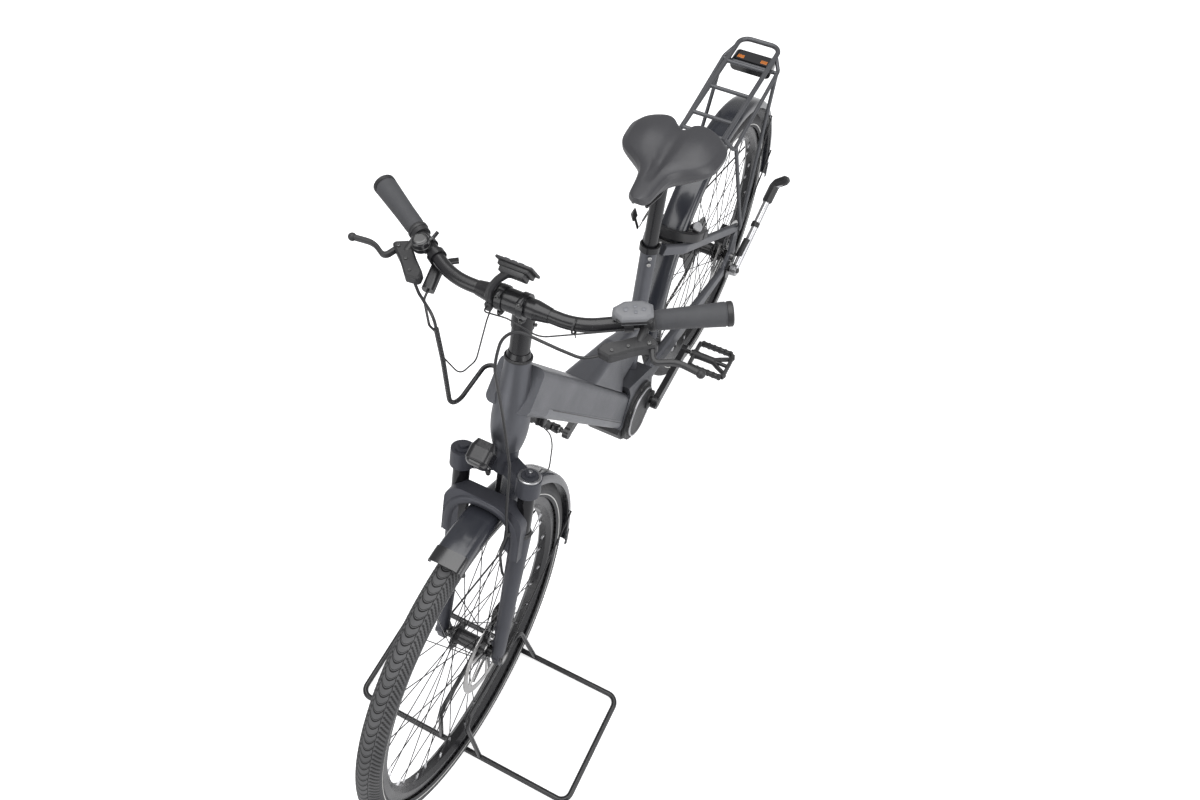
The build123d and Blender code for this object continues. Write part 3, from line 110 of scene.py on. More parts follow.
def mathNode(tree, operation, first, second=None, third=None):
    node = nodeOf(tree, "ShaderNodeMath", operation=operation)
    for socket, value in zip(node.inputs, (first, second, third)):
        if value is None:
            continue
        if isinstance(value, (int, float)):
            socket.default_value = value
        else:
            tree.links.new(value, socket)
    return node.outputs[0]


def bandNode(tree, value, middle, half):
    # 1 inside the band, 0 outside
    distance = mathNode(tree, "ABSOLUTE", mathNode(tree, "SUBTRACT", value, middle))
    return mathNode(tree, "LESS_THAN", distance, half)


materials = {}


def surface(name, colour, shade, rough, metal=0.0, grain=900, grainBump=0.15, coat=0.0, blotch=14,
            stretch=(1, 1, 1), dust=0.0, specular=0.5, grainDepth=0.0004):
    mat = bpy.data.materials.new(name)
    mat.use_nodes = True
    tree = mat.node_tree
    shader = tree.nodes["Principled BSDF"]
    for socket, value in (("Metallic", metal), ("Coat Weight", coat), ("Coat Roughness", 0.12),
                          ("Specular IOR Level", specular)):
        shader.inputs[socket].default_value = value
    wide = noiseNode(tree, blotch, 4, 0.6)
    fine = noiseNode(tree, grain, 2, 0.5, stretch)
    blotches = rangeNode(tree, wide.outputs["Fac"], 0, 1)
    base = mixNode(tree, blotches, colour, shade)
    if dust:
        # dust gathers on what faces up
        geometry = nodeOf(tree, "ShaderNodeNewGeometry")
        split = nodeOf(tree, "ShaderNodeSeparateXYZ")
        tree.links.new(geometry.outputs["Normal"], split.inputs[0])
        upper = rangeNode(tree, split.outputs["Z"], 0, dust, 0.2, 1.0)
        speck = mathNode(tree, "MULTIPLY", upper, fine.outputs["Fac"])
        base = mixNode(tree, speck, base, (0.55, 0.54, 0.52))
    tree.links.new(base, shader.inputs["Base Color"])
    tree.links.new(rangeNode(tree, wide.outputs["Fac"], rough[0], rough[1]), shader.inputs["Roughness"])
    tree.links.new(bumpNode(tree, fine.outputs["Fac"], grainBump, grainDepth), shader.inputs["Normal"])
    materials[name] = mat
    return mat


# name, two colours that it drifts between, lowest and highest roughness
surface("framePaint", (0.100, 0.103, 0.116), (0.088, 0.091, 0.103), (0.33, 0.41), metal=0.5, grain=2600,
        grainBump=0.22, dust=0.05)
# a lighter copy of the frame paint for the down tube's flat side: painted light
surface("litSidePaint", (0.170, 0.174, 0.190), (0.150, 0.154, 0.168), (0.33, 0.41), metal=0.5, grain=2600,
        grainBump=0.2, dust=0.05)
surface("blackPaint", (0.009, 0.009, 0.011), (0.012, 0.012, 0.014), (0.20, 0.29), metal=0.1, grain=2200,
        grainBump=0.12, dust=0.04)
surface("stanchion", (0.012, 0.012, 0.014), (0.018, 0.018, 0.02), (0.12, 0.2), metal=0.6, grain=400,
        grainBump=0.03, stretch=(1, 1, 0.05))
surface("forkPaint", (0.042, 0.044, 0.056), (0.036, 0.038, 0.048), (0.38, 0.46), metal=0.3, grain=2600,
        grainBump=0.22, dust=0.05)
surface("guardPlastic", (0.020, 0.022, 0.030), (0.024, 0.026, 0.034), (0.2, 0.27), coat=0.4, grain=700,
        grainBump=0.04, dust=0.02)
surface("blackPlastic", (0.012, 0.012, 0.014), (0.018, 0.018, 0.020), (0.4, 0.52), grain=1800,
        grainBump=0.35, dust=0.05)
surface("glossPlastic", (0.012, 0.012, 0.014), (0.018, 0.018, 0.02), (0.12, 0.22), coat=0.6, grain=600,
        grainBump=0.03)
surface("greyPlastic", (0.16, 0.165, 0.18), (0.13, 0.135, 0.15), (0.38, 0.5), grain=1500, grainBump=0.2)
surface("gripRubber", (0.060, 0.061, 0.066), (0.050, 0.051, 0.056), (0.6, 0.75), grain=1300, grainBump=0.7,
        grainDepth=0.0006)
surface("rackPaint", (0.070, 0.072, 0.080), (0.080, 0.082, 0.090), (0.35, 0.48), metal=0.3, grain=2400,
        grainBump=0.15, dust=0.06)
surface("silver", (0.62, 0.62, 0.63), (0.5, 0.5, 0.52), (0.26, 0.4), metal=1.0, grain=500, grainBump=0.06,
        stretch=(1, 14, 1))
surface("steel", (0.5, 0.5, 0.5), (0.38, 0.37, 0.36), (0.22, 0.4), metal=1.0, grain=700, grainBump=0.08,
        stretch=(1, 6, 1))
surface("darkSteel", (0.2, 0.2, 0.2), (0.12, 0.12, 0.12), (0.3, 0.45), metal=1.0, grain=700, grainBump=0.1)
surface("hoseRubber", (0.013, 0.013, 0.014), (0.018, 0.018, 0.02), (0.35, 0.5), grain=900, grainBump=0.1)
surface("chainSteel", (0.26, 0.25, 0.24), (0.16, 0.155, 0.15), (0.28, 0.42), metal=1.0, grain=800,
        grainBump=0.08)
surface("unitGrey", (0.165, 0.168, 0.178), (0.145, 0.148, 0.158), (0.36, 0.46), grain=1500, grainBump=0.2)
surface("screenGlass", (0.010, 0.011, 0.013), (0.014, 0.015, 0.018), (0.05, 0.09), coat=0.6, grain=60,
        grainBump=0.01)
surface("clearLens", (0.012, 0.013, 0.016), (0.020, 0.021, 0.024), (0.10, 0.16), coat=0.1, grain=500,
        grainBump=0.12, stretch=(1, 0.1, 0.1))
surface("redLens", (0.24, 0.010, 0.010), (0.17, 0.006, 0.006), (0.08, 0.14), coat=0.8, grain=500,
        grainBump=0.15, stretch=(1, 0.1, 0.1))
surface("amberLens", (0.55, 0.17, 0.02), (0.42, 0.12, 0.015), (0.08, 0.14), coat=0.6, grain=500,
        grainBump=0.15)

# spiral wrap of the cable sleeve
tree = surface("sleeveWrap", (0.016, 0.016, 0.018), (0.022, 0.022, 0.024), (0.3, 0.42), grain=900,
               grainBump=0.08).node_tree
wave = nodeOf(tree, "ShaderNodeTexWave", bands_direction="Z", Scale=46.0, Distortion=0.4)
tree.links.new(nodeOf(tree, "ShaderNodeTexCoord").outputs["Object"], wave.inputs["Vector"])
wrapNormal = tree.nodes["Principled BSDF"].inputs["Normal"]
wrapGrain = wrapNormal.links[0].from_socket
tree.links.new(bumpNode(tree, wave.outputs["Fac"], 0.8, 0.0012, wrapGrain), wrapNormal)

nodeLooks = {
    "framePaint": ["seat_tube", "motor_bridge", "chain_stays", "seat_stays", "frame_front"],
    # the battery cover takes the lighter copy of the frame paint: painted light
    "litSidePaint": ["battery_cover"],
    "forkPaint": ["fork_lowers", "fork_crown"],
    "blackPaint": ["handlebar", "stem", "headset_spacers", "seat_post", "seat_clamp", "front_rim",
                   "rear_rim", "front_hub", "rear_hub", "front_spokes", "rear_spokes", "stand",
                   "front_guard_stays", "rear_guard_stays", "shifter", "crankset", "front_caliper",
                   "rear_caliper", "kickstand_bracket", "headlight"],
    "guardPlastic": ["front_mudguard", "rear_mudguard"],
    "blackPlastic": ["motor", "belly_cover", "chain_guard", "pedal_left", "pedal_right", "derailleur",
                     "brake_lever_left", "brake_lever_right", "control_unit", "ring_lock", "front_tyre",
                     "rear_tyre", "saddle"],
    "glossPlastic": ["display", "bell", "tail_light"],
    "gripRubber": ["grip_left", "grip_right"],
    "rackPaint": ["rack"],
    "silver": ["kickstand"],
    "steel": ["front_brake_disc", "rear_brake_disc", "front_axle", "rear_axle"],
    "darkSteel": ["chain", "cassette"],
    "hoseRubber": ["front_brake_hose", "cables_right", "display_wires", "crown_wire"],
}


for look, names in nodeLooks.items():
    for name in names:
        data = bpy.data.objects[name].data
        data.materials.clear()
        data.materials.append(materials[look])
print("materials done")


# ---- piece helpers
def linkPiece(name, mesh, look, sharp):
    # sharp is the angle between faces from which an edge is drawn hard
    for edge in mesh.edges:
        edge.smooth = edge.calc_face_angle(0) < sharp
    for face in mesh.faces:
        face.smooth = True
    data = bpy.data.meshes.new(name)
    mesh.to_mesh(data)
    mesh.free()
    piece = bpy.data.objects.new(name, data)
    scene.collection.objects.link(piece)
    data.materials.append(materials[look])
    return piece


def newPiece(name, mesh, look, body, sharp=0.6):
    bmesh.ops.recalc_face_normals(mesh, faces=mesh.faces)
    piece = linkPiece(name, mesh, look, sharp)
    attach(piece, body)
    return piece


def pieceOf(add, name, look, body, *parts):
    # a piece of one kind of shape; each part holds what that add function takes after the mesh
    mesh = bmesh.new()
    for part in parts:
        add(mesh, *part)
    return newPiece(name, mesh, look, body)


def turnTo(direction):
    return Vector(direction).to_track_quat("Z", "Y").to_matrix().to_4x4()


def aroundAxle(x, axle, radius, turn):
    # a point on a circle round an axle, turn is counted from the top
    return Vector((x, axle.y + radius * math.sin(turn), axle.z + radius * math.cos(turn)))


def skinRings(mesh, rings):
    # faces between closed rings of corners, and a cap on each end
    count = len(rings[0])
    for first, second in zip(rings, rings[1:]):
        for n in range(count):
            mesh.faces.new((first[n], first[(n + 1) % count], second[(n + 1) % count], second[n]))
    mesh.faces.new(reversed(rings[0]))
    mesh.faces.new(rings[-1])


def extrudeOutline(mesh, points, shift):
    # a plate over the points, as thick as the shift; gives the moved corners
    face = mesh.faces.new([mesh.verts.new(point) for point in points])
    made = bmesh.ops.extrude_face_region(mesh, geom=[face])
    moved = [vert for vert in made["geom"] if isinstance(vert, bmesh.types.BMVert)]
    bmesh.ops.translate(mesh, verts=moved, vec=shift)
    return moved


def addRound(mesh, place, direction, profile, steps=20):
    # profile is pairs of (height along, radius)
    spot = Matrix.Translation(place) @ turnTo(direction)
    before = set(mesh.verts)
    verts = [mesh.verts.new(spot @ Vector((radius, 0, height))) for height, radius in profile]
    edges = [mesh.edges.new(pair) for pair in zip(verts, verts[1:])]
    bmesh.ops.spin(mesh, geom=verts + edges, cent=place, axis=Vector(direction).normalized(), angle=tau,
                   steps=steps, use_merge=True, use_duplicate=False)
    fresh = [v for v in mesh.verts if v not in before]
    bmesh.ops.remove_doubles(mesh, verts=fresh, dist=weld)


def addBolt(mesh, place, direction, radius=0.003, height=0.003):
    # a socket-head bolt with its recess
    addRound(mesh, place, direction,
             [(0, radius), (height * 0.8, radius), (height, radius * 0.82), (height, radius * 0.5),
              (height * 0.45, radius * 0.48), (height * 0.45, onAxis)], 12)


def addBoltRing(mesh, x, axle, group, side, radius, height):
    for k in range(group["bolts"]):
        turn = tau * k / group["bolts"] + group["boltTurn"]
        addBolt(mesh, aroundAxle(x, axle, group["boltCircle"], turn), (side, 0, 0), radius, height)


def addBox(mesh, place, size, turn=None, bevel=0.002, segments=2):
    made = bmesh.ops.create_cube(mesh, size=1)
    spot = Matrix.Translation(place) @ (turn.to_4x4() if turn else Matrix())
    bmesh.ops.transform(mesh, verts=made["verts"], matrix=spot @ Matrix.Diagonal((*size, 1)))
    edges = list({edge for vert in made["verts"] for edge in vert.link_edges})
    bmesh.ops.bevel(mesh, geom=edges, offset=bevel, segments=segments, affect="EDGES", profile=0.5,
                    material=-1)


def wayAt(points, k):
    # the way a run of points goes at one of them
    return (points[min(k + 1, len(points) - 1)] - points[max(k - 1, 0)]).normalized()


def addTube(mesh, points, radius, sides=10):
    # a round tube along a smooth run of points
    points = [Vector(p) for p in points]
    rings = []
    side = None
    for k, point in enumerate(points):
        ahead = wayAt(points, k)
        if side is None:
            side = ahead.orthogonal().normalized()
        side = (side - ahead * side.dot(ahead)).normalized()
        up = ahead.cross(side)
        rings.append([mesh.verts.new(point + (side * math.cos(a) + up * math.sin(a)) * radius)
                      for a in (tau * n / sides for n in range(sides))])
    skinRings(mesh, rings)


def addBar(mesh, points, sizes, up, bevel=0.3):
    # a bar of eight-sided section through points; sizes are (width, height) at each point
    points = [Vector(p) for p in points]
    rings = []
    for k, (point, (width, height)) in enumerate(zip(points, sizes)):
        ahead = wayAt(points, k)
        across = Vector(up).cross(ahead).normalized()
        rise = ahead.cross(across)
        corner = min(width, height) * bevel
        w, h = width / 2, height / 2
        outline = [(w, h - corner), (w - corner, h), (corner - w, h), (-w, h - corner), (-w, corner - h),
                   (corner - w, -h), (w - corner, -h), (w, corner - h)]
        rings.append([mesh.verts.new(point + across * u + rise * v) for u, v in outline])
    skinRings(mesh, rings)


# ---- tyres
tyre = dict(steps=1152, across=26, halfAngle=126, pitch=0.015, notch=0.0014, notchFrom=0.012, notchRepeat=5,
            notchWidth=1.5, sidewall=0.0325)
# the moulded pattern, in pitches: across from the middle, along round the tyre; groove is the near-black of
# painted shade in the grooves
tread = dict(edge=0.80, bow=1.15, crescent=0.085, fine=0.03, fineShift=0.22, wave=0.03, border=0.03,
             stripe=2.91, stripeHalf=0.065, wall=2.16, depth=0.0012, groove=(0.004, 0.004, 0.0045),
             wallColour=(0.055, 0.055, 0.058), stripeColour=(0.62, 0.62, 0.6))


def treadRubber():
    tree = surface("treadRubber", (0.105, 0.105, 0.108), (0.078, 0.078, 0.081), (0.62, 0.78), grain=1100,
                   grainBump=0.3, specular=0.35).node_tree
    shader = tree.nodes["Principled BSDF"]

    def calc(*parts):
        return mathNode(tree, *parts)

    uvNode = nodeOf(tree, "ShaderNodeUVMap", uv_map="tread")
    split = nodeOf(tree, "ShaderNodeSeparateXYZ")
    tree.links.new(uvNode.outputs["UV"], split.inputs[0])
    along, across = split.outputs["X"], calc("ABSOLUTE", split.outputs["Y"])
    squared = calc("MULTIPLY", across, across)
    bow = calc("ADD", along, calc("MULTIPLY", squared, tread["bow"]))
    crescent = bandNode(tree, calc("FRACT", bow), 0.5, tread["crescent"])
    middle = calc("LESS_THAN", across, tread["edge"])
    wave = calc("SINE", calc("MULTIPLY", bow, tau))
    wave = calc("MULTIPLY", wave, tread["wave"])
    border = bandNode(tree, across, calc("ADD", wave, tread["edge"]), tread["border"])
    shifted = calc("FRACT", calc("ADD", bow, tread["fineShift"]))
    fine = bandNode(tree, shifted, 0.5, tread["fine"])
    inner = calc("MULTIPLY", calc("MAXIMUM", crescent, fine), middle)
    lines = calc("MAXIMUM", inner, border)
    # grooves and the lowered shoulder notches are painted near-black: painted shade in the recesses
    notchShadeNode = nodeOf(tree, "ShaderNodeAttribute", attribute_name="notch")
    paintedGrooveShade = calc("MAXIMUM", lines, notchShadeNode.outputs["Fac"])
    stripe = bandNode(tree, across, tread["stripe"], tread["stripeHalf"])
    wall = calc("GREATER_THAN", across, tread["wall"])
    base = shader.inputs["Base Color"].links[0].from_socket
    base = mixNode(tree, paintedGrooveShade, base, tread["groove"])
    base = mixNode(tree, wall, base, tread["wallColour"])
    base = mixNode(tree, stripe, base, tread["stripeColour"])
    tree.links.new(base, shader.inputs["Base Color"])
    grain = shader.inputs["Normal"].links[0].from_socket
    raised = calc("SUBTRACT", 1.0, lines)
    tree.links.new(bumpNode(tree, raised, 0.9, tread["depth"], grain), shader.inputs["Normal"])


def treadTyre(node, axle, body):
    low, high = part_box(node)
    outer, half = (high.z - low.z) / 2, (high.x - low.x) / 2
    crown = outer - half
    mesh = bmesh.new()
    uvLayer = mesh.loops.layers.uv.new("tread")
    # notch marks the lowered shoulder corners, which get painted shade in the shader
    notchShadeLayer = mesh.verts.layers.float.new("notch")
    angles = [math.radians((2 * j / tyre["across"] - 1) * tyre["halfAngle"])
              for j in range(tyre["across"] + 1)]
    rings = []
    for step in range(tyre["steps"]):
        turn = tau * step / tyre["steps"]
        ring = []
        for j, angle in enumerate(angles):
            shoulder = tyre["notchFrom"] < abs(angle) * half < tyre["sidewall"]
            slant = (step - 2 * abs(j - tyre["across"] // 2)) % tyre["notchRepeat"]
            lowered = shoulder and slant < tyre["notchWidth"]
            section = half - (tyre["notch"] if lowered else 0)
            radius = crown + section * math.cos(angle)
            vert = mesh.verts.new((section * math.sin(angle), axle.y + radius * math.cos(turn),
                                   axle.z + radius * math.sin(turn)))
            vert[notchShadeLayer] = 1.0 if lowered else 0.0
            ring.append(vert)
        rings.append(ring)
    repeats = round(tau * outer / tyre["pitch"])
    for step in range(tyre["steps"]):
        ring, after = rings[step], rings[(step + 1) % tyre["steps"]]
        for j in range(tyre["across"]):
            face = mesh.faces.new((ring[j], after[j], after[j + 1], ring[j + 1]))
            for loop, s, k in zip(face.loops, (step, step + 1, step + 1, step), (j, j, j + 1, j + 1)):
                loop[uvLayer].uv = (s / tyre["steps"] * repeats, angles[k] * half / tyre["pitch"])
    piece = newPiece(node + "_tread", mesh, "treadRubber", body, 1.2)
    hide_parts(node)


treadRubber()
treadTyre("front_tyre", frontAxle, "front_wheel")
treadTyre("rear_tyre", rearAxle, "rear_wheel")
print("tyres done")

# ---- saddle
seat = dict(rows=44, columns=72, nose=0.021, rear=0.104, spreadAt=0.475, spreadRate=21, taper=0.010,
            roundFrom=0.78, noseRound=0.10, groove=0.0105, notch=0.030, thick=0.050, back=0.013, lift=0.0035,
            swellAt=0.74, swellWidth=0.20, pad=0.006, edge=0.007)


def seatWidth(t):
    # half width of the saddle from nose (0) to rear (1)
    spread = 1 / (1 + math.exp(-(t - seat["spreadAt"]) * seat["spreadRate"]))
    half = seat["nose"] + seat["taper"] * min(t / 0.4, 1)
    half += (seat["rear"] - seat["nose"] - seat["taper"]) * spread
    if t > seat["roundFrom"]:
        half *= max(0.0, 1 - ((t - seat["roundFrom"]) / (1 - seat["roundFrom"])) ** 2.4) ** 0.42
    if t < seat["noseRound"]:
        half *= max(0.0, 1 - (1 - t / seat["noseRound"]) ** 2.2) ** 0.5
    return half


def seatHeight(t, x, half, above, top):
    # height of the cover at x, over or under its rim
    flat = min(1, half / 0.030)
    swell = math.exp(-((t - seat["swellAt"]) / seat["swellWidth"]) ** 2)
    reach = abs(x) / max(half, 0.001)
    pad = seat["pad"] * swell * math.exp(-((reach - 0.52) / 0.30) ** 2)
    crown = top + seat["lift"] - 0.004 * (1 - t) ** 2.2 - 0.004 * (1 - swell) + pad
    rim = crown - (0.010 + 0.006 * swell) * flat
    if above:
        trough = 0.0065 + 0.007 * t
        channel = seat["groove"] * math.exp(-(x / trough) ** 4) * min(1, max(0, (t - 0.20) * 4))
        return crown - (crown - rim) * reach ** 3.2 - seat["edge"] * max(0, reach - 0.86) / 0.14 - channel
    belly = seat["thick"] * (0.24 + 0.38 * min(1, t * 2.2)) * flat + 0.002
    return rim - seat["edge"] - belly * min(1, (1 - reach) * 3.0 + 0.10) ** 0.5


def makeSaddle():
    low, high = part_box("saddle")
    length = high.y - low.y - 0.001
    mesh = bmesh.new()
    rows = []
    for r in range(seat["rows"] + 1):
        t = 0.5 - 0.5 * math.cos(math.pi * (0.03 + 0.94 * r / seat["rows"]))
        half = max(seatWidth(t), 0.006)
        row = []
        for c in range(seat["columns"]):
            turn = tau * c / seat["columns"]
            x = half * math.copysign(abs(math.cos(turn)) ** 0.72, math.cos(turn))
            z = seatHeight(t, x, half, math.sin(turn) >= 0, high.z)
            back = seat["notch"] * math.exp(-(x / 0.026) ** 2) * t ** 9
            row.append(mesh.verts.new((x, low.y + seat["back"] + length * t - back, z)))
        rows.append(row)
    skinRings(mesh, rows)
    piece = newPiece("saddle_cover", mesh, "seatCover", "frame", 3.2)
    soften = piece.modifiers.new("subdivision", "SUBSURF")
    soften.levels = soften.render_levels = 2
    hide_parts("saddle")


surface("seatCover", (0.052, 0.052, 0.057), (0.044, 0.044, 0.049), (0.34, 0.44), grain=1500, grainBump=0.25)
makeSaddle()
print("saddle done")

# ---- steering axis and handlebar
steerMove = Vector((0, 0.3714, 0.9285))
steerBack = Vector((0, 0.9285, -0.3714))
steerFoot = fromFront(0, 0.04364, 0.33755)
barMiddle = fromFront(0, 0.298, 1.082)
barOut = Vector((0.868, 0.492, 0.067)).normalized()
barBend = 0.108
armX = -0.0315  # the display's arm, right of the stem


def barPoint(side, reach):
    # on the bar's middle line, at that distance from the plane of the wheels
    bend = Vector((side * barBend, barMiddle.y, barMiddle.z))
    return bend + Vector((side * barOut.x, barOut.y, barOut.z)) * ((reach - barBend) / barOut.x)


def steerPoint(side, back, along):
    return steerFoot + Vector((side, 0, 0)) + steerBack * back + steerMove * along


# ---- stem plate and cockpit bolts
plate = dict(across=0.0185, up=0.0195, bossBack=0.0085, boltBack=0.0155, boltRadius=0.0034, boltHeight=0.003)
plateSpots = [(x, up) for x in (-plate["across"], plate["across"]) for up in (plate["up"], -plate["up"])]
bossProfile = [(-0.004, 0.0052), (0.006, 0.0052), (0.0075, 0.0042), (0.0075, onAxis)]
pieceOf(addRound, "stem_bosses", "blackPaint", "steering_assembly",
        *((barMiddle + Vector((x, -plate["bossBack"], up)), (0, -1, 0), bossProfile, 14)
          for x, up in plateSpots))

# lever bolts are (x, y, radius, height)
cockpit = dict(steererBolts=(0.730, 0.748), gripClamp=0.197, leverTop=1.086,
               leverBolts=((0.215, 0.314, 0.0034, 0.0022), (0.172, 0.279, 0.0024, 0.0018),
                           (0.190, 0.296, 0.0024, 0.0018)))
mesh = bmesh.new()
for x, up in plateSpots:
    addBolt(mesh, barMiddle + Vector((x, -plate["boltBack"], up)), (0, -1, 0), plate["boltRadius"],
            plate["boltHeight"])
for along in cockpit["steererBolts"]:
    addBolt(mesh, steerPoint(0.0195, 0.004, along), (1, 0, 0), 0.003, 0.003)
for side in (1, -1):
    addBolt(mesh, barPoint(side, cockpit["gripClamp"]) + Vector((0, -0.006, -0.0135)), (0, -0.4, -1), 0.0028,
            0.003)
    for x, y, radius, height in cockpit["leverBolts"]:
        addBolt(mesh, fromFront(side * x, y, cockpit["leverTop"]), (0, 0, 1), radius, height)
addBolt(mesh, barMiddle + Vector((armX, -0.0205, 0.006)), (0, -1, 0.2), 0.0032, 0.003)
newPiece("cockpit_bolts", mesh, "darkSteel", "steering_assembly")

# ---- fork: ring and screw on the left cap, dust seals, polished stanchions up to the crown
fork = dict(leg=0.065, back=-0.034, tube=0.0152, capRing=0.4622, capScrew=0.4735, seal=0.3302, sleeve=0.3365,
            sleeveLength=0.0870, headSeal=0.6625)


def legPoint(side, along):
    return steerPoint(side * fork["leg"], fork["back"], along)


pieceOf(addRound, "fork_cap_ring", "silver", "steering_assembly",
        (legPoint(1, fork["capRing"]), steerMove,
         [(0, 0.0155), (0, 0.0205), (0.0025, 0.0205), (0.0035, 0.0195), (0.0035, 0.0155)], 40),
        (legPoint(1, fork["capScrew"]), steerMove,
         [(0, 0.0035), (0.002, 0.0035), (0.0025, 0.0028), (0.0025, onAxis)], 14))

sealProfile = [(0, fork["tube"]), (0, 0.0192), (0.003, 0.0192), (0.0045, 0.0178), (0.006, 0.0182),
               (0.008, 0.0165), (0.008, fork["tube"])]
pieceOf(addRound, "seals", "blackPlastic", "steering_assembly",
        *((legPoint(side, fork["seal"]), steerMove, sealProfile, 36) for side in (1, -1)),
        (steerPoint(0, 0, fork["headSeal"]), steerMove,
         [(0, 0.0165), (0, 0.0238), (0.003, 0.0238), (0.0045, 0.022)], 36))
sleeveProfile = [(0, fork["tube"]), (fork["sleeveLength"], fork["tube"])]
pieceOf(addRound, "stanchion_sleeves", "stanchion", "steering_assembly",
        *((legPoint(side, fork["sleeve"]), steerMove, sleeveProfile, 40) for side in (1, -1)))

# ---- bell: button on top and the line round its foot
bell = dict(top=fromFront(-0.175, 0.321, 1.114), foot=0.0125)
pieceOf(addRound, "bell_ring", "darkSteel", "steering_assembly",
        (bell["top"], (0, 0, 1),
         [(0, 0.0106), (0.0012, 0.0102), (0.0016, 0.009), (0.0004, 0.0086), (0.0004, onAxis)], 30),
        (bell["top"] - Vector((0, 0, bell["foot"])), (0, 0, 1),
         [(0, 0.0142), (0.0006, 0.0146), (0.0012, 0.0142)], 36))

# ---- display on its arm, its face turned to the rider
display = dict(at=Vector((-0.002, barMiddle.y + 0.024, 1.1345)), face=Vector((0, 0.90, 0.436)).normalized(),
               plate=(0.061, 0.045, 0.0045), step=(0.051, 0.036, 0.0080), back=(0.042, 0.028, 0.0100),
               glass=(0.050, 0.036, 0.0012), button=(0.008, 0.0025, 0.0014), buttonGap=0.012)
displayTurn = Matrix((Vector((1, 0, 0)), display["face"].cross(Vector((1, 0, 0))),
                      display["face"])).transposed()


def onDisplay(x, y, out):
    return display["at"] + displayTurn @ Vector((x, y, out))


def onArm(x, y, z):
    return barMiddle + Vector((armX + x, y, z))


mesh = bmesh.new()
addBox(mesh, onDisplay(0, 0, 0), display["plate"], displayTurn, 0.0016, 3)
addBox(mesh, display["at"] - display["face"] * 0.0056, display["step"], displayTurn, 0.0022)
addBox(mesh, display["at"] - display["face"] * 0.0130 + displayTurn @ Vector((0, -0.002, 0)),
       display["back"], displayTurn, 0.0024, 3)
addRound(mesh, onArm(-0.0055, 0, 0), (1, 0, 0),
         [(0, 0.0160), (0, 0.0192), (0.001, 0.0200), (0.010, 0.0200), (0.011, 0.0192), (0.011, 0.0160)], 44)
addBar(mesh, [onArm(0, -0.017, 0.004), onArm(0, -0.019, 0.018), onArm(0.002, -0.014, 0.030),
              onArm(0.008, -0.002, 0.039), onArm(0.018, 0.006, 0.048), onArm(0.026, 0.010, 0.051)],
       [(0.012, 0.010), (0.0125, 0.011), (0.0125, 0.011), (0.013, 0.010), (0.016, 0.010), (0.020, 0.010)],
       (1, 0, 0.2))
addBox(mesh, onArm(0, -0.022, -0.003), (0.0105, 0.009, 0.016))
shell = newPiece("display_unit", mesh, "blackPlastic", "steering_assembly")
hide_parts("display")
pieceOf(addBox, "display_glass", "screenGlass", "steering_assembly",
        (onDisplay(0, 0, 0.0022), display["glass"], displayTurn, 0.0005))
pieceOf(addBox, "display_buttons", "greyPlastic", "steering_assembly",
        *((onDisplay(k * display["buttonGap"], -0.0197, 0.0026), display["button"], displayTurn, 0.0005)
          for k in (-1, 0, 1)))

# ---- control unit: grey hood and its keys, each (x, y, diameter)
hood = dict(outline=((-0.033, -0.002), (-0.020, -0.0165), (0.016, -0.0165), (0.027, -0.010), (0.027, 0.010),
                     (0.012, 0.0185), (-0.014, 0.0185), (-0.031, 0.008)),
            at=barPoint(1, 0.177) + Vector((0.004, -0.002, 0.0283)), foot=-0.010, height=0.0124, inset=0.005,
            crown=0.003, bevel=0.0008, keyFoot=0.0050,
            keys=((-0.013, 0.001, 0.0080), (0.001, 0.0055, 0.0060), (0.001, -0.0045, 0.0060),
                  (0.013, 0, 0.0065)))
hoodTurn = Matrix.Rotation(math.atan2(barOut.y, barOut.x), 3, "Z")
mesh = bmesh.new()
top = extrudeOutline(mesh, [hood["at"] + hoodTurn @ Vector((x, y, hood["foot"]))
                            for x, y in hood["outline"]], (0, 0, hood["height"]))
bmesh.ops.inset_region(mesh, faces=[face for face in mesh.faces if all(vert in top for vert in face.verts)],
                       thickness=hood["inset"], depth=hood["crown"])
bmesh.ops.bevel(mesh, geom=list(mesh.edges), offset=hood["bevel"], segments=2, affect="EDGES", profile=0.5,
                material=-1)
newPiece("unit_shell", mesh, "unitGrey", "steering_assembly")
mesh = bmesh.new()
for x, y, size in hood["keys"]:
    addRound(mesh, hood["at"] + hoodTurn @ Vector((x, y, hood["keyFoot"])), (0, 0, 1),
             [(0, size / 2), (0.0010, size / 2), (0.0014, size * 0.4), (0.0014, onAxis)], 16)
newPiece("unit_keys", mesh, "greyPlastic", "steering_assembly")

# ---- headlight: a domed front, black above and clear below
dome = dict(width=0.0425, height=0.0385, depth=0.0115, power=0.62, rings=9, sides=48, sunk=0.003,
            clearBelow=-0.0065, facing=Vector((0, -0.96, -0.28)).normalized(), ahead=0.024)
domeAt = fromFront(-0.014, 0.176, 0.820) + dome["facing"] * dome["ahead"]
domeTurn = dome["facing"].to_track_quat("Z", "Y").to_matrix()
mesh = bmesh.new()
rings = []
for k in range(dome["rings"]):
    rise = k / (dome["rings"] - 1) * 0.47 * math.pi
    shrink = math.cos(rise) ** 0.6
    ring = []
    for n in range(dome["sides"]):
        across, up = math.cos(tau * n / dome["sides"]), math.sin(tau * n / dome["sides"])
        ring.append(mesh.verts.new(domeAt + domeTurn @ Vector((
            math.copysign(abs(across) ** dome["power"], across) * dome["width"] / 2 * shrink,
            math.copysign(abs(up) ** dome["power"], up) * dome["height"] / 2 * shrink,
            dome["depth"] * math.sin(rise) - dome["sunk"]))))
    rings.append(ring)
skinRings(mesh, rings)
for face in mesh.faces:
    if (domeTurn.transposed() @ (face.calc_center_median() - domeAt)).y < dome["clearBelow"]:
        face.material_index = 1
lens = newPiece("headlight_lens", mesh, "glossPlastic", "steering_assembly", 0.9)
lens.data.materials.append(materials["clearLens"])
print("steering details done")

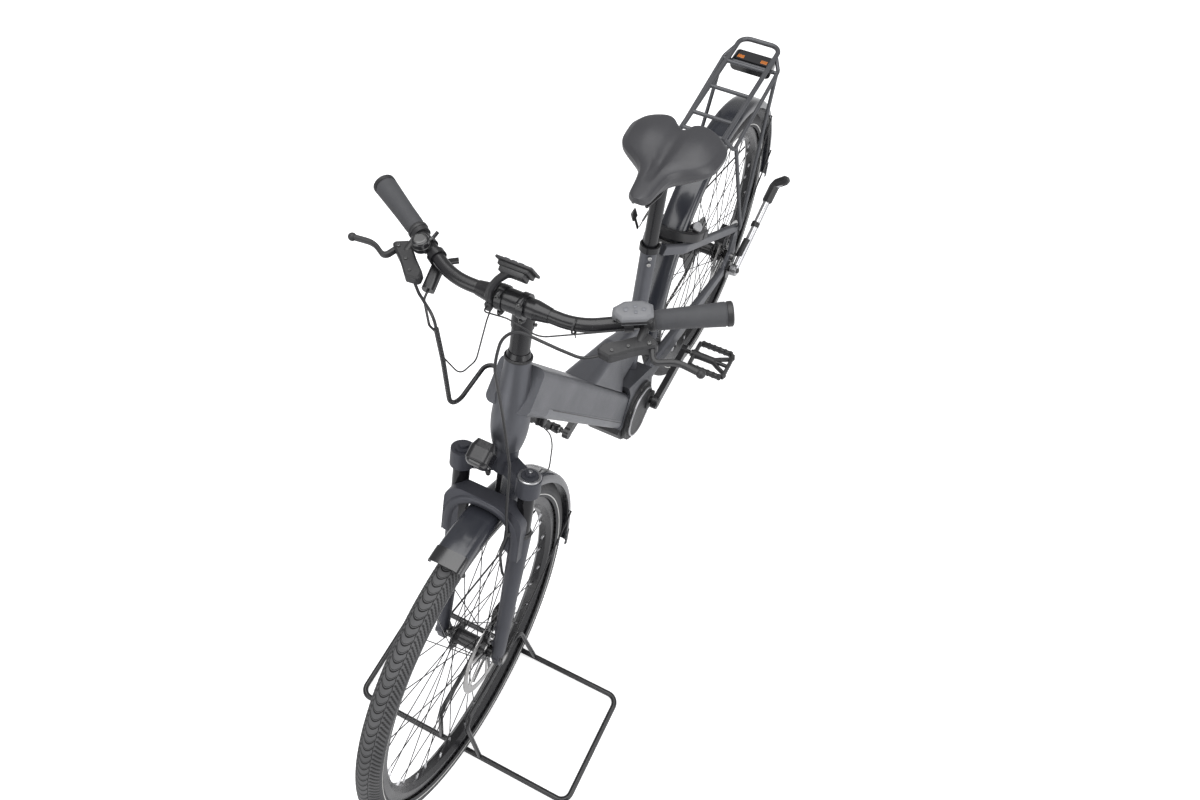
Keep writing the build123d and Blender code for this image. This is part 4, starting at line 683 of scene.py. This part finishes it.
# ---- tie round the bar and clip on the hose
tie = dict(at=Vector((0.104, barMiddle.y - 0.001, barMiddle.z)), inner=0.0113, outer=0.0126, width=0.003)
mesh = bmesh.new()
addRound(mesh, tie["at"] - Vector((tie["width"] / 2, 0, 0)), (1, 0, 0),
         [(0, tie["inner"]), (0, tie["outer"]), (tie["width"], tie["outer"]), (tie["width"], tie["inner"])],
         24)
addBox(mesh, tie["at"] + Vector((0, -0.003, -0.0135)), (0.0035, 0.005, 0.004), None, 0.0006)
addTube(mesh, [tie["at"] + Vector((0, -0.003, -0.0145)), tie["at"] + Vector((0.002, -0.005, -0.021))],
        0.0009, 6)
newPiece("bar_tie", mesh, "hoseRubber", "steering_assembly")
pieceOf(addRound, "hose_clip", "blackPlastic", "steering_assembly",
        (fromFront(0.055, 0.110, 0.685), (0.05, 0.3, 1),
         [(0, 0.0026), (0, 0.0052), (0.001, 0.0058), (0.009, 0.0058), (0.010, 0.0052), (0.010, 0.0026)], 20))
print("ties done")

# ---- wheels: nipples, valves, disc bolts and carriers
wheel = dict(spokes=36, cross=3, holeCircle=0.0255, flangeHalf=0.004, nippleCircle=0.2909, nippleOut=0.003,
             valveCircle=0.2915, valveTurn=0.13, bolts=6, boltCircle=0.0175, boltTurn=0.2)
carrier = dict(thick=0.0016, inner=0.0135, outer=0.0225, arm=(0.0014, 0.0075, 0.046),
               armMiddle=(0, 0.006, 0.043), armTurn=0.05, armLean=-0.14)


def wheelDetails(place, axle, body, leftFlange, rightFlange):
    perSide = wheel["spokes"] // 2
    stepTurn = tau / perSide
    mesh = bmesh.new()
    for side, flange in ((1, leftFlange), (-1, rightFlange)):
        for outside in (1, -1):
            hubX = flange + side * outside * wheel["flangeHalf"]
            first = (stepTurn / 2 if side < 0 else 0) + (stepTurn if outside < 0 else 0)
            for k in range(perSide // 2):
                hubTurn = first + 2 * stepTurn * k
                rimTurn = hubTurn + wheel["cross"] * stepTurn * outside
                start = aroundAxle(hubX, axle, wheel["holeCircle"], hubTurn)
                end = aroundAxle(side * wheel["nippleOut"], axle, wheel["nippleCircle"], rimTurn)
                addRound(mesh, end, start - end,
                         [(-0.001, 0.0023), (0.006, 0.0023), (0.0075, 0.0017), (0.013, 0.0015)], 6)
    newPiece(place + "_nipples", mesh, "silver", body)
    out = Vector((0, math.sin(wheel["valveTurn"]), math.cos(wheel["valveTurn"])))
    pieceOf(addRound, place + "_valve", "blackPlastic", body,
            (axle + out * wheel["valveCircle"], -out,
             [(0, 0.0055), (0.002, 0.0055), (0.002, 0.0032), (0.024, 0.0032), (0.024, 0.0042),
              (0.034, 0.0042), (0.036, 0.0030), (0.036, onAxis)], 14))
    mesh = bmesh.new()
    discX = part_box(place + "_brake_disc")[1].x
    addBoltRing(mesh, discX, axle, wheel, 1, 0.0032, 0.0024)
    newPiece(place + "_disc_bolts", mesh, "darkSteel", body)
    # black carrier over the middle of the silver ring
    mesh = bmesh.new()
    discMiddle = Vector((discX, axle.y, axle.z))
    addRound(mesh, discMiddle, (1, 0, 0),
             [(0.0001, carrier["inner"]), (0.0001, carrier["outer"]),
              (carrier["thick"], carrier["outer"] - 0.0005), (carrier["thick"], carrier["inner"])], 40)
    for k in range(wheel["bolts"]):
        lean = Matrix.Rotation(-(tau * k / wheel["bolts"] + carrier["armTurn"]), 3, "X")
        arm = discMiddle + Vector((carrier["arm"][0] / 2, 0, 0)) + lean @ Vector(carrier["armMiddle"])
        addBox(mesh, arm, carrier["arm"], lean @ Matrix.Rotation(carrier["armLean"], 3, "X"), 0.0004, 1)
    newPiece(place + "_disc_carrier", mesh, "blackPaint", body)


wheelDetails("front", frontAxle, "front_wheel", 0.020, -0.032)
wheelDetails("rear", rearAxle, "rear_wheel", 0.030, -0.017)
print("wheel details done")

# ---- sprockets and chainring
link = dict(pitch=0.0127, x=-0.04965, inner=0.0018, outer=0.0026, wall=0.0008, half=0.0040, waist=0.0029,
            roller=0.0036, pin=0.0018, ringRadius=0.0789, cogRadius=0.0346)
cog = dict(teeth=(34, 30, 26, 23, 20, 17, 15, 13, 11), first=-0.0273, pitch=0.0043, thick=0.0018,
           tooth=0.0030, body=0.0185)
crankAt = Vector((0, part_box("crankset")[0].y + 0.184, 0.301))
ring = dict(teeth=39, x=-0.04855, thick=0.0022, tooth=0.0024, bolts=5, boltX=-0.0508, boltCircle=0.052,
            boltTurn=0.3, armX=0.081)


def toothedDisc(mesh, x, centre, teeth, thick, tooth):
    radius = link["pitch"] / 2 / math.sin(math.pi / teeth)
    corners = ((-0.30, -tooth), (-0.13, tooth), (0.13, tooth), (0.30, -tooth))
    extrudeOutline(mesh, [aroundAxle(x, centre, radius + reach, tau * (k + part) / teeth)
                          for k in range(teeth) for part, reach in corners], (-thick, 0, 0))


mesh = bmesh.new()
for k, teeth in enumerate(cog["teeth"]):
    toothedDisc(mesh, cog["first"] - cog["pitch"] * k, rearAxle, teeth, cog["thick"], cog["tooth"])
addRound(mesh, Vector((-0.027, rearAxle.y, rearAxle.z)), (-1, 0, 0),
         [(0, cog["body"]), (0.0355, cog["body"])], 32)
addRound(mesh, Vector((-0.0628, rearAxle.y, rearAxle.z)), (-1, 0, 0),
         [(0, cog["body"]), (0.0016, cog["body"]), (0.0019, 0.0175), (0.0019, 0.0105), (0, 0.0105)], 32)
cogs = newPiece("cassette_sprockets", mesh, "darkSteel", "rear_wheel")
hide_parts("cassette")

mesh = bmesh.new()
toothedDisc(mesh, ring["x"], crankAt, ring["teeth"], ring["thick"], ring["tooth"])
newPiece("chainring_teeth", mesh, "blackPaint", "crankset")
mesh = bmesh.new()
addBoltRing(mesh, ring["boltX"], crankAt, ring, -1, 0.0048, 0.0022)
for side in (1, -1):
    addRound(mesh, Vector((side * ring["armX"], crankAt.y, crankAt.z)), (side, 0, 0),
             [(-0.001, 0.0115), (0.0012, 0.0115), (0.0018, 0.0105), (0.0018, 0.0045), (-0.0005, 0.004),
              (-0.0005, onAxis)], 24)
newPiece("crank_bolts", mesh, "darkSteel", "crankset")

# ---- chain, link by link round the ring, the two jockey wheels and the sprocket
cage = dict(lower=(rearAxle.y + 0.026, 0.236), upper=(rearAxle.y + 0.010, 0.289), radius=0.0205, x=-0.0565)


def chainRun():
    # each wheel is centre, radius, way round
    wheels = [(crankAt.y, crankAt.z, link["ringRadius"], 1), (*cage["lower"], cage["radius"], 1),
              (*cage["upper"], cage["radius"], -1), (rearAxle.y, rearAxle.z, link["cogRadius"], 1)]
    count = len(wheels)
    leave, reach = [None] * count, [None] * count
    for k, (y1, z1, r1, s1) in enumerate(wheels):
        y2, z2, r2, s2 = wheels[(k + 1) % count]
        gap = math.hypot(y2 - y1, z2 - z1)
        spread = s2 * r2 - s1 * r1
        angle = math.atan2(z2 - z1, y2 - y1) - math.atan2(spread, math.sqrt(gap * gap - spread * spread))
        out = (math.sin(angle), -math.cos(angle))
        leave[k] = (y1 + s1 * r1 * out[0], z1 + s1 * r1 * out[1])
        reach[(k + 1) % count] = (y2 + s2 * r2 * out[0], z2 + s2 * r2 * out[1])
    run = []
    for k, (y, z, radius, way) in enumerate(wheels):
        start = math.atan2(reach[k][1] - z, reach[k][0] - y)
        turn = (math.atan2(leave[k][1] - z, leave[k][0] - y) - start) * way % tau
        steps = max(2, int(turn / 0.04))
        for n in range(steps + 1):
            angle = start + way * turn * n / steps
            run.append(Vector((0, y + radius * math.cos(angle), z + radius * math.sin(angle))))
    return run


def evenly(run, count):
    run = run + [run[0]]
    lengths = [(b - a).length for a, b in zip(run, run[1:])]
    step = sum(lengths) / count
    spots, passed, k = [], 0.0, 0
    for n in range(count):
        while passed + lengths[k] < n * step:
            passed += lengths[k]
            k += 1
        spots.append(run[k].lerp(run[k + 1], (n * step - passed) / max(lengths[k], 1e-9)))
    return spots


run = chainRun()
whole = sum((b - a).length for a, b in zip(run, run[1:] + run[:1]))
linkCount = 2 * round(whole / link["pitch"] / 2)
spots = evenly(run, linkCount)
mesh = bmesh.new()
for k, spot in enumerate(spots):
    after = spots[(k + 1) % linkCount]
    ahead = (after - spot).normalized()
    across = Vector((0, -ahead.z, ahead.y))
    length = (after - spot).length
    reach = link["outer"] if k % 2 else link["inner"]
    upper = [(-0.0034, 0.0024), (-0.0010, link["half"]), (0.0022, link["half"]), (length / 2, link["waist"]),
             (length - 0.0022, link["half"]), (length + 0.0010, link["half"]), (length + 0.0034, 0.0024)]
    lower = [(u, -v) for u, v in upper]
    outline = [lower[0], *upper, *lower[:0:-1]]
    for side in (1, -1):
        sideways = Vector((link["x"] + side * reach, 0, 0))
        extrudeOutline(mesh, [sideways + spot + ahead * u + across * v for u, v in outline],
                       (-side * link["wall"], 0, 0))
    addRound(mesh, spot + Vector((link["x"] - 0.003, 0, 0)), (1, 0, 0),
             [(0, onAxis), (0, link["pin"]), (0.0012, link["pin"]), (0.0012, link["roller"]),
              (0.0048, link["roller"]), (0.0048, link["pin"]), (0.006, link["pin"]), (0.006, onAxis)], 8)
links = newPiece("chain_links", mesh, "chainSteel", "frame")
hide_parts("chain")
print("chain done,", linkCount, "links")

# ---- derailleur bolts
mesh = bmesh.new()
for y, z in (cage["lower"], cage["upper"]):
    addRound(mesh, Vector((cage["x"], y, z)), (-1, 0, 0),
             [(0, 0.0052), (0.0018, 0.0052), (0.0022, 0.0045), (0.0022, 0.0022), (0.0008, 0.002),
              (0.0008, onAxis)],
             20)
addBolt(mesh, Vector((-0.0815, rearAxle.y + 0.006, 0.327)), (-1, 0, 0), 0.0055, 0.0025)
newPiece("derailleur_bolts", mesh, "darkSteel", "frame")

# ---- motor face
motor = dict(at=Vector((0, crankAt.y - 0.046, 0.310)), ringX=0.0570, bolts=7, boltX=0.050, boltCircle=0.0685,
             boltTurn=0.2)
pieceOf(addRound, "motor_ring", "silver", "frame",
        (motor["at"] + Vector((motor["ringX"], 0, 0)), (1, 0, 0),
         [(-0.002, 0.0625), (0.0006, 0.0625), (0.0012, 0.0615), (0.0012, 0.0595), (0.0004, 0.0588),
          (-0.002, 0.0588)], 72))
mesh = bmesh.new()
addBoltRing(mesh, motor["boltX"], motor["at"], motor, 1, 0.0034, 0.0022)
newPiece("motor_bolts", mesh, "darkSteel", "frame")
print("motor done")

# ---- tail light: red lens at the back, amber spots on top
tailLight = dict(lens=(0.088, 0.004, 0.024), lensZ=0.784, spot=(0.016, 0.011, 0.0035), spotX=0.028,
                 spotBack=0.009)
tailLow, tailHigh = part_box("tail_light")
spotY, spotZ = tailLow.y + tailLight["spotBack"], tailHigh.z - 0.0005
pieceOf(addBox, "tail_light_lens", "redLens", "frame",
        (Vector((0, tailHigh.y - 0.0005, tailLight["lensZ"])), tailLight["lens"], None, 0.0018, 3))
pieceOf(addBox, "tail_light_spots", "amberLens", "frame",
        *((Vector((side * tailLight["spotX"], spotY, spotZ)), tailLight["spot"], None, 0.001)
          for side in (-1, 1)))

# ---- grips: ring at the inner end, cap at the outer end
grip = dict(inner=0.2005, outer=0.2975, bar=0.0113, ring=0.0166, cap=0.0189)
for side, name in ((1, "left"), (-1, "right")):
    way = Vector((side * barOut.x, barOut.y, barOut.z))
    pieceOf(addRound, "grip_rings_" + name, "blackPlastic", "steering_assembly",
            (barPoint(side, grip["inner"]) - way * 0.002, way,
             [(0, grip["bar"]), (0, 0.0158), (0.0015, grip["ring"]), (0.006, grip["ring"]),
              (0.0075, 0.0158)], 32),
            (barPoint(side, grip["outer"]) + way * 0.0025, way,
             [(-0.0035, 0.0182), (-0.0030, grip["cap"]), (0.0035, grip["cap"]), (0.0042, 0.0182)], 40))

# ---- lock cylinder and its two keys
pieceOf(addRound, "lock_cylinder", "silver", "frame",
        (fromFront(0.047, 0.953, 0.650), (0.55, -0.25, 0.8),
         [(-0.012, onAxis), (-0.012, 0.0115), (0.004, 0.0115), (0.006, 0.0100), (0.006, 0.0055),
          (0.005, 0.005), (0.005, onAxis)], 28))

keys = dict(at=fromFront(-0.062, 0.893, 0.664), leans=(0.35, -0.25), blade=(0.0022, 0.008, 0.030),
            head=(0.0045, 0.021, 0.022), bladeUp=0.010, headUp=0.034)
mesh = bmesh.new()
for k, lean in enumerate(keys["leans"]):
    spin = Matrix.Rotation(lean, 3, "Y")
    for up, size, bevel in (("bladeUp", "blade", (0.0006, 1)), ("headUp", "head", (0.0020, 2))):
        addBox(mesh, keys["at"] + spin @ Vector((-0.004 * k, -0.008 * k, keys[up])), keys[size], spin,
               *bevel)
newPiece("lock_keys", mesh, "darkSteel", "frame")
print("lamps and keys done")

# ---- pedals
pedal = dict(length=0.098, depth=0.088, height=0.020, bar=0.009, barrel=0.0095, middle=0.145, teeth=6,
             outerEnd=0.62, innerEnd=0.80)


def makePedal(node, side, turned):
    low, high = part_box(node)
    middle = Vector((side * pedal["middle"], (low.y + high.y) / 2, (low.z + high.z) / 2))
    lean = Matrix.Rotation(math.radians(turned), 3, "X")
    up = lean @ Vector((0, 0, 1))
    half = pedal["depth"] / 2
    barHeight = pedal["height"] * 0.72
    mesh = bmesh.new()

    def at(x, y):
        return middle + lean @ Vector((x, y, 0))

    for y in (-half + 0.006, half - 0.006):
        addBox(mesh, at(0, y), (pedal["length"] * 0.84, pedal["bar"], barHeight), lean)
        for k in range(pedal["teeth"]):
            x = (k / (pedal["teeth"] - 1) - 0.5) * pedal["length"] * 0.72
            addBox(mesh, at(x, y), (0.0062, pedal["bar"] * 0.8, pedal["height"]), lean, 0.0010, 1)
    ends = ((-side, pedal["innerEnd"]), (side, pedal["outerEnd"]))
    for way, size in ends:
        addBox(mesh, at(way * (pedal["length"] / 2 - 0.005), 0), (0.0085, pedal["depth"] * size, barHeight),
               lean, 0.0025)
    for way, size in ends:
        for y in (1, -1):
            addBar(mesh, [at(way * 0.041, y * (half - 0.008)),
                          at(way * 0.045, y * pedal["depth"] * size * 0.47)],
                   [(0.012, 0.0144), (0.012, 0.0144)], up)
    outward = Vector((side, 0, 0))
    addRound(mesh, at(-side * 0.047, 0), outward,
             [(-0.002, 0.0068), (-0.002, 0.0112), (0.006, 0.0112), (0.016, pedal["barrel"]),
              (0.052, pedal["barrel"]), (0.056, 0.0080), (0.056, onAxis)], 24)
    for y in (1, -1):
        addBar(mesh, [at(side * 0.002, 0), at(side * 0.020, y * 0.012), at(side * 0.043, y * 0.024)],
               [(0.012, 0.013), (0.010, 0.012), (0.009, 0.012)], up)
    body = newPiece(node + "_body", mesh, "blackPlastic", node)
    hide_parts(node)
    pieceOf(addRound, node + "_spindle", "darkSteel", node,
            (Vector((low.x if side > 0 else high.x, middle.y, middle.z)), outward,
             [(0, 0.0045), (0, 0.0085), (0.004, 0.0085), (0.004, 0.0072), (0.012, 0.0072), (0.012, 0.0045)],
             20))


makePedal("pedal_left", 1, 0)
makePedal("pedal_right", -1, -60)
print("pedals done")

# ---- kickstand: collars on the leg, rubber foot, hinge bolt
leg = dict(hinge=fromFront(0.088, 1.150, 0.330), foot=fromFront(0.105, 1.362, 0.450), radius=0.0088,
           collar=0.0108, collars=((0.15, 0.050), (0.50, 0.014)))  # (where along the leg, length)
legWay = (leg["foot"] - leg["hinge"]).normalized()


def legAt(t):
    return leg["hinge"].lerp(leg["foot"], t)


pieceOf(addRound, "kickstand_collars", "blackPlastic", "kickstand",
        *((legAt(t), legWay,
           [(0, leg["radius"]), (0, 0.0100), (0.0015, leg["collar"]), (length - 0.0015, leg["collar"]),
            (length, 0.0100), (length, leg["radius"])], 28) for t, length in leg["collars"]))
pieceOf(addBar, "kickstand_foot", "blackPlastic", "kickstand",
        ([legAt(0.79), legAt(0.81), legAt(0.98), leg["foot"] + Vector((0.004, 0.002, 0.005)),
          leg["foot"] + Vector((0.024, 0.004, 0.022)), leg["foot"] + Vector((0.030, 0.006, 0.026))],
         [(0.0195, 0.0195), (0.0238, 0.0238), (0.0238, 0.0238), (0.0245, 0.0240), (0.0240, 0.0235),
          (0.020, 0.012)],
         (1, 0, 0.3)))
pieceOf(addBolt, "kickstand_bolt", "darkSteel", "kickstand",
        (leg["hinge"] + Vector((0.012, 0, 0.001)), (1, 0, 0.09), 0.006, 0.004))

# ---- bolts on the seat tube and its clamp
seatTube = dict(foot=fromFront(0, 0.712, 0.390), way=Vector((0, 0.2790, 0.9603)), bolts=(0.300, 0.316),
                boltShift=Vector((0.010, -0.0165, 0.0048)), clampBolt=(0.012, 0.709))
mesh = bmesh.new()
for along in seatTube["bolts"]:
    addBolt(mesh, seatTube["foot"] + seatTube["way"] * along + seatTube["boltShift"], (0.5, -0.8603, 0.25),
            0.0042, 0.0028)
clampX, clampZ = seatTube["clampBolt"]
addBolt(mesh, Vector((clampX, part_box("seat_clamp")[1].y - 0.004, clampZ)), (1, 0, 0), 0.0042, 0.006)
newPiece("frame_bolts", mesh, "steel", "frame")
print("kickstand done")

# ---- mudguards; angles in degrees from the top of the wheel, lips are the bands at their ends
guard = dict(half=0.031, depth=0.019, wall=0.0018, lipRise=0.0009, lipOver=0.25, lipShare=0.8, stepAngle=1.5,
             edge=((-1.0, 1.0), (-1.0, 0.62), (-0.965, 0.40), (-0.88, 0.22), (-0.74, 0.10), (-0.5, 0.03)))


def guardBand(mesh, axle, radius, half, start, stop, depth, wall):
    section = [*guard["edge"], (0, 0), *((-x, drop) for x, drop in reversed(guard["edge"]))]
    rings = []
    steps = max(2, int(abs(stop - start) / guard["stepAngle"]))
    for n in range(steps + 1):
        turn = math.radians(start + (stop - start) * n / steps)
        out = Vector((0, math.sin(turn), math.cos(turn)))
        rings.append([mesh.verts.new(axle + out * (radius - drop * depth) + Vector((x * half, 0, 0)))
                      for x, drop in section])
    faces = []
    for first, second in zip(rings, rings[1:]):
        for n in range(len(section) - 1):
            faces.append(mesh.faces.new((first[n], second[n], second[n + 1], first[n + 1])))
    bmesh.ops.recalc_face_normals(mesh, faces=faces)
    middle = faces[len(section) // 2]
    if middle.normal.dot(middle.calc_center_median() - axle) < 0:
        bmesh.ops.reverse_faces(mesh, faces=faces)
    bmesh.ops.solidify(mesh, geom=faces, thickness=wall)


for node, axle, body, start, stop, lips in (
        ("front_mudguard", frontAxle, "steering_assembly", 0, 114, ((0, 4.2), (108, 114))),
        ("rear_mudguard", rearAxle, "frame", -80, 98, ((92, 98),))):
    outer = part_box(node)[1].z - axle.z
    mesh = bmesh.new()
    guardBand(mesh, axle, outer, guard["half"], start, stop, guard["depth"], guard["wall"])
    shell = newPiece(node + "_shell", mesh, "guardPlastic", body, 0.9)
    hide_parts(node)
    mesh = bmesh.new()
    for lipStart, lipStop in lips:
        guardBand(mesh, axle, outer + guard["lipRise"], guard["half"] + guard["lipRise"],
                  lipStart - guard["lipOver"], lipStop + guard["lipOver"],
                  guard["depth"] * guard["lipShare"], guard["wall"] * guard["lipShare"])
    newPiece(node + "_lip", mesh, "glossPlastic", body, 0.9)
print("mudguards done")

# ---- fork arch: smooth band in front of the tyre, between the lower legs
arch = dict(leg=0.068, crown=0.388, foot=0.292, front=-0.069, deep=0.035, rise=0.020, steps=28,
            squareness=0.80, flatness=0.62, corner=((0.5, 0.16), (0.42, 0.42), (0.22, 0.5)))
archSection = [*arch["corner"], *((-u, v) for u, v in reversed(arch["corner"]))]
archSection += [(-u, -v) for u, v in archSection]
path = []
for n in range(arch["steps"] + 1):
    turn = math.pi * n / arch["steps"]
    side = -math.cos(turn)
    path.append((math.copysign(abs(side) ** arch["squareness"], side) * arch["leg"],
                 arch["foot"] + (arch["crown"] - arch["foot"]) * math.sin(turn) ** arch["flatness"]))
mesh = bmesh.new()
rings = []
for k, (side, along) in enumerate(path):
    before, after = path[max(k - 1, 0)], path[min(k + 1, len(path) - 1)]
    way = Vector((after[0] - before[0], after[1] - before[1])).normalized()
    out = Vector((-way.y, way.x))
    ring = []
    for u, v in archSection:
        reach = Vector((side, along)) + out * (v * arch["rise"])
        ring.append(mesh.verts.new(steerPoint(reach.x, arch["front"] + arch["deep"] * (0.5 + u), reach.y)))
    rings.append(ring)
skinRings(mesh, rings)
newPiece("fork_arch", mesh, "forkPaint", "steering_assembly", 0.9)
print("arch done")

# ---- cables that bend with the steering
bending = dict(longest=0.008, cuts=2, sharp=0.9)


def bendingCopy(node, name, look):
    mesh = bmesh.new()
    mesh.from_mesh(bpy.data.objects[node].data)
    bmesh.ops.remove_doubles(mesh, verts=mesh.verts, dist=weld)
    for _ in range(bending["cuts"]):
        longEdges = [edge for edge in mesh.edges if edge.calc_length() > bending["longest"]]
        if longEdges:
            bmesh.ops.subdivide_edges(mesh, edges=longEdges, cuts=1)
    bmesh.ops.triangulate(mesh, faces=[face for face in mesh.faces if len(face.verts) > 4])
    piece = linkPiece(name, mesh, look, bending["sharp"])
    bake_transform(piece)
    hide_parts(node)


bendingCopy("cables_right", "cable_sleeve", "sleeveWrap")
bendingCopy("crown_wire", "crown_wire_run", "hoseRubber")
print("bending cables done")

# ---- cover seams, wire guide and axle washers
seam = dict(x=0.0421, ends=((0.312, 0.792), (0.588, 0.357)), size=(0.0018, 0.0008))
pieceOf(addBar, "cover_seams", "hoseRubber", "frame",
        *(([fromFront(side * seam["x"], y, z) for y, z in seam["ends"]], [seam["size"]] * 2, (1, 0, 0))
          for side in (1, -1)))
pieceOf(addBox, "wire_guide", "blackPlastic", "frame",
        (fromFront(0.020, 0.306, 0.757), (0.016, 0.018, 0.022), Matrix.Rotation(-0.55, 3, "X"), 0.003))

washer = dict(inner=0.0092, outer=0.0130, shoulder=0.0125, thick=0.0030)
washerProfile = [(0, washer["inner"]), (0, washer["shoulder"]), (washer["thick"] / 2, washer["outer"]),
                 (washer["thick"], washer["shoulder"]), (washer["thick"], washer["inner"])]
for name, axle, x, body in (("axle_washers", frontAxle, 0.0735, "steering_assembly"),
                            ("rear_axle_washers", rearAxle, 0.0790, "frame")):
    pieceOf(addRound, name, "darkSteel", body,
            *((Vector((side * x, axle.y, axle.z)), (side, 0, 0), washerProfile, 30) for side in (1, -1)))
print("small parts done")

# ---- room: white floor and surround
room = dict(floorSize=30, floorColour=(0.86, 0.86, 0.87, 1), floorRough=0.9, floorGlow=0.58,
            worldStrength=0.32)


def toCamera(tree, amount):
    # a strength that only the camera sees
    return mathNode(tree, "MULTIPLY", nodeOf(tree, "ShaderNodeLightPath").outputs["Is Camera Ray"], amount)


floorMesh = bmesh.new()
bmesh.ops.create_grid(floorMesh, x_segments=1, y_segments=1, size=room["floorSize"])
floorData = bpy.data.meshes.new("floor")
floorMesh.to_mesh(floorData)
floorMesh.free()
floor = bpy.data.objects.new("floor", floorData)
scene.collection.objects.link(floor)
floorMat = bpy.data.materials.new("floorMat")
floorMat.use_nodes = True
tree = floorMat.node_tree
shader = tree.nodes["Principled BSDF"]
shader.inputs["Roughness"].default_value = room["floorRough"]
shader.inputs["Base Color"].default_value = room["floorColour"]
shader.inputs["Emission Color"].default_value = (1, 1, 1, 1)
tree.links.new(toCamera(tree, room["floorGlow"]), shader.inputs["Emission Strength"])
floorData.materials.append(floorMat)

world = bpy.data.worlds.new("room")
scene.world = world
world.use_nodes = True
tree = world.node_tree
background = tree.nodes["Background"]
background.inputs["Color"].default_value = (1, 1, 1, 1)
seen = mathNode(tree, "ADD", toCamera(tree, 1 - room["worldStrength"]), room["worldStrength"])
tree.links.new(seen, background.inputs["Strength"])

# ---- lights; each is place, target, size, watts
lights = dict(topLamp=((0.0, 0.0, 4.2), (0, 0, 0.5), (3.5, 4.5), 150),
              leftLamp=((3.6, -0.6, 1.8), (0, 0, 0.6), (3, 2.6), 75),
              frontLamp=((-1.2, -3.8, 1.8), (0, 0, 0.6), (3, 2.4), 52.5))
for name, (place, target, size, power) in lights.items():
    data = bpy.data.lights.new(name, "AREA")
    data.shape = "RECTANGLE"
    data.size, data.size_y = size
    data.energy = power
    lamp = bpy.data.objects.new(name, data)
    lamp.location = place
    lamp.rotation_euler = (Vector(target) - Vector(place)).to_track_quat("-Z", "Y").to_euler()
    scene.collection.objects.link(lamp)

# ---- camera; angles in degrees
view = dict(place=(0.53044, frontAxle.y - 0.44394, 2.17511), yaw=27.26, pitch=56.37, roll=-0.79, lens=28.36,
            sensor=36, shift=(-0.0031, -0.0014))
yaw, pitch, roll = (math.radians(view[k]) for k in ("yaw", "pitch", "roll"))
ahead = Vector((-math.sin(yaw) * math.cos(pitch), math.cos(yaw) * math.cos(pitch), -math.sin(pitch)))
level = Vector((math.cos(yaw), math.sin(yaw), 0))
upward = level.cross(ahead)
right = level * math.cos(roll) + upward * math.sin(roll)
upper = upward * math.cos(roll) - level * math.sin(roll)
cameraData = bpy.data.cameras.new("camera")
cameraData.lens = view["lens"]
cameraData.sensor_width = view["sensor"]
cameraData.shift_x, cameraData.shift_y = view["shift"]
camera = bpy.data.objects.new("camera", cameraData)
cameraTurn = Matrix((right, upper, -ahead)).transposed()
camera.matrix_world = Matrix.Translation(view["place"]) @ cameraTurn.to_4x4()
scene.collection.objects.link(camera)
scene.camera = camera
print("room done")
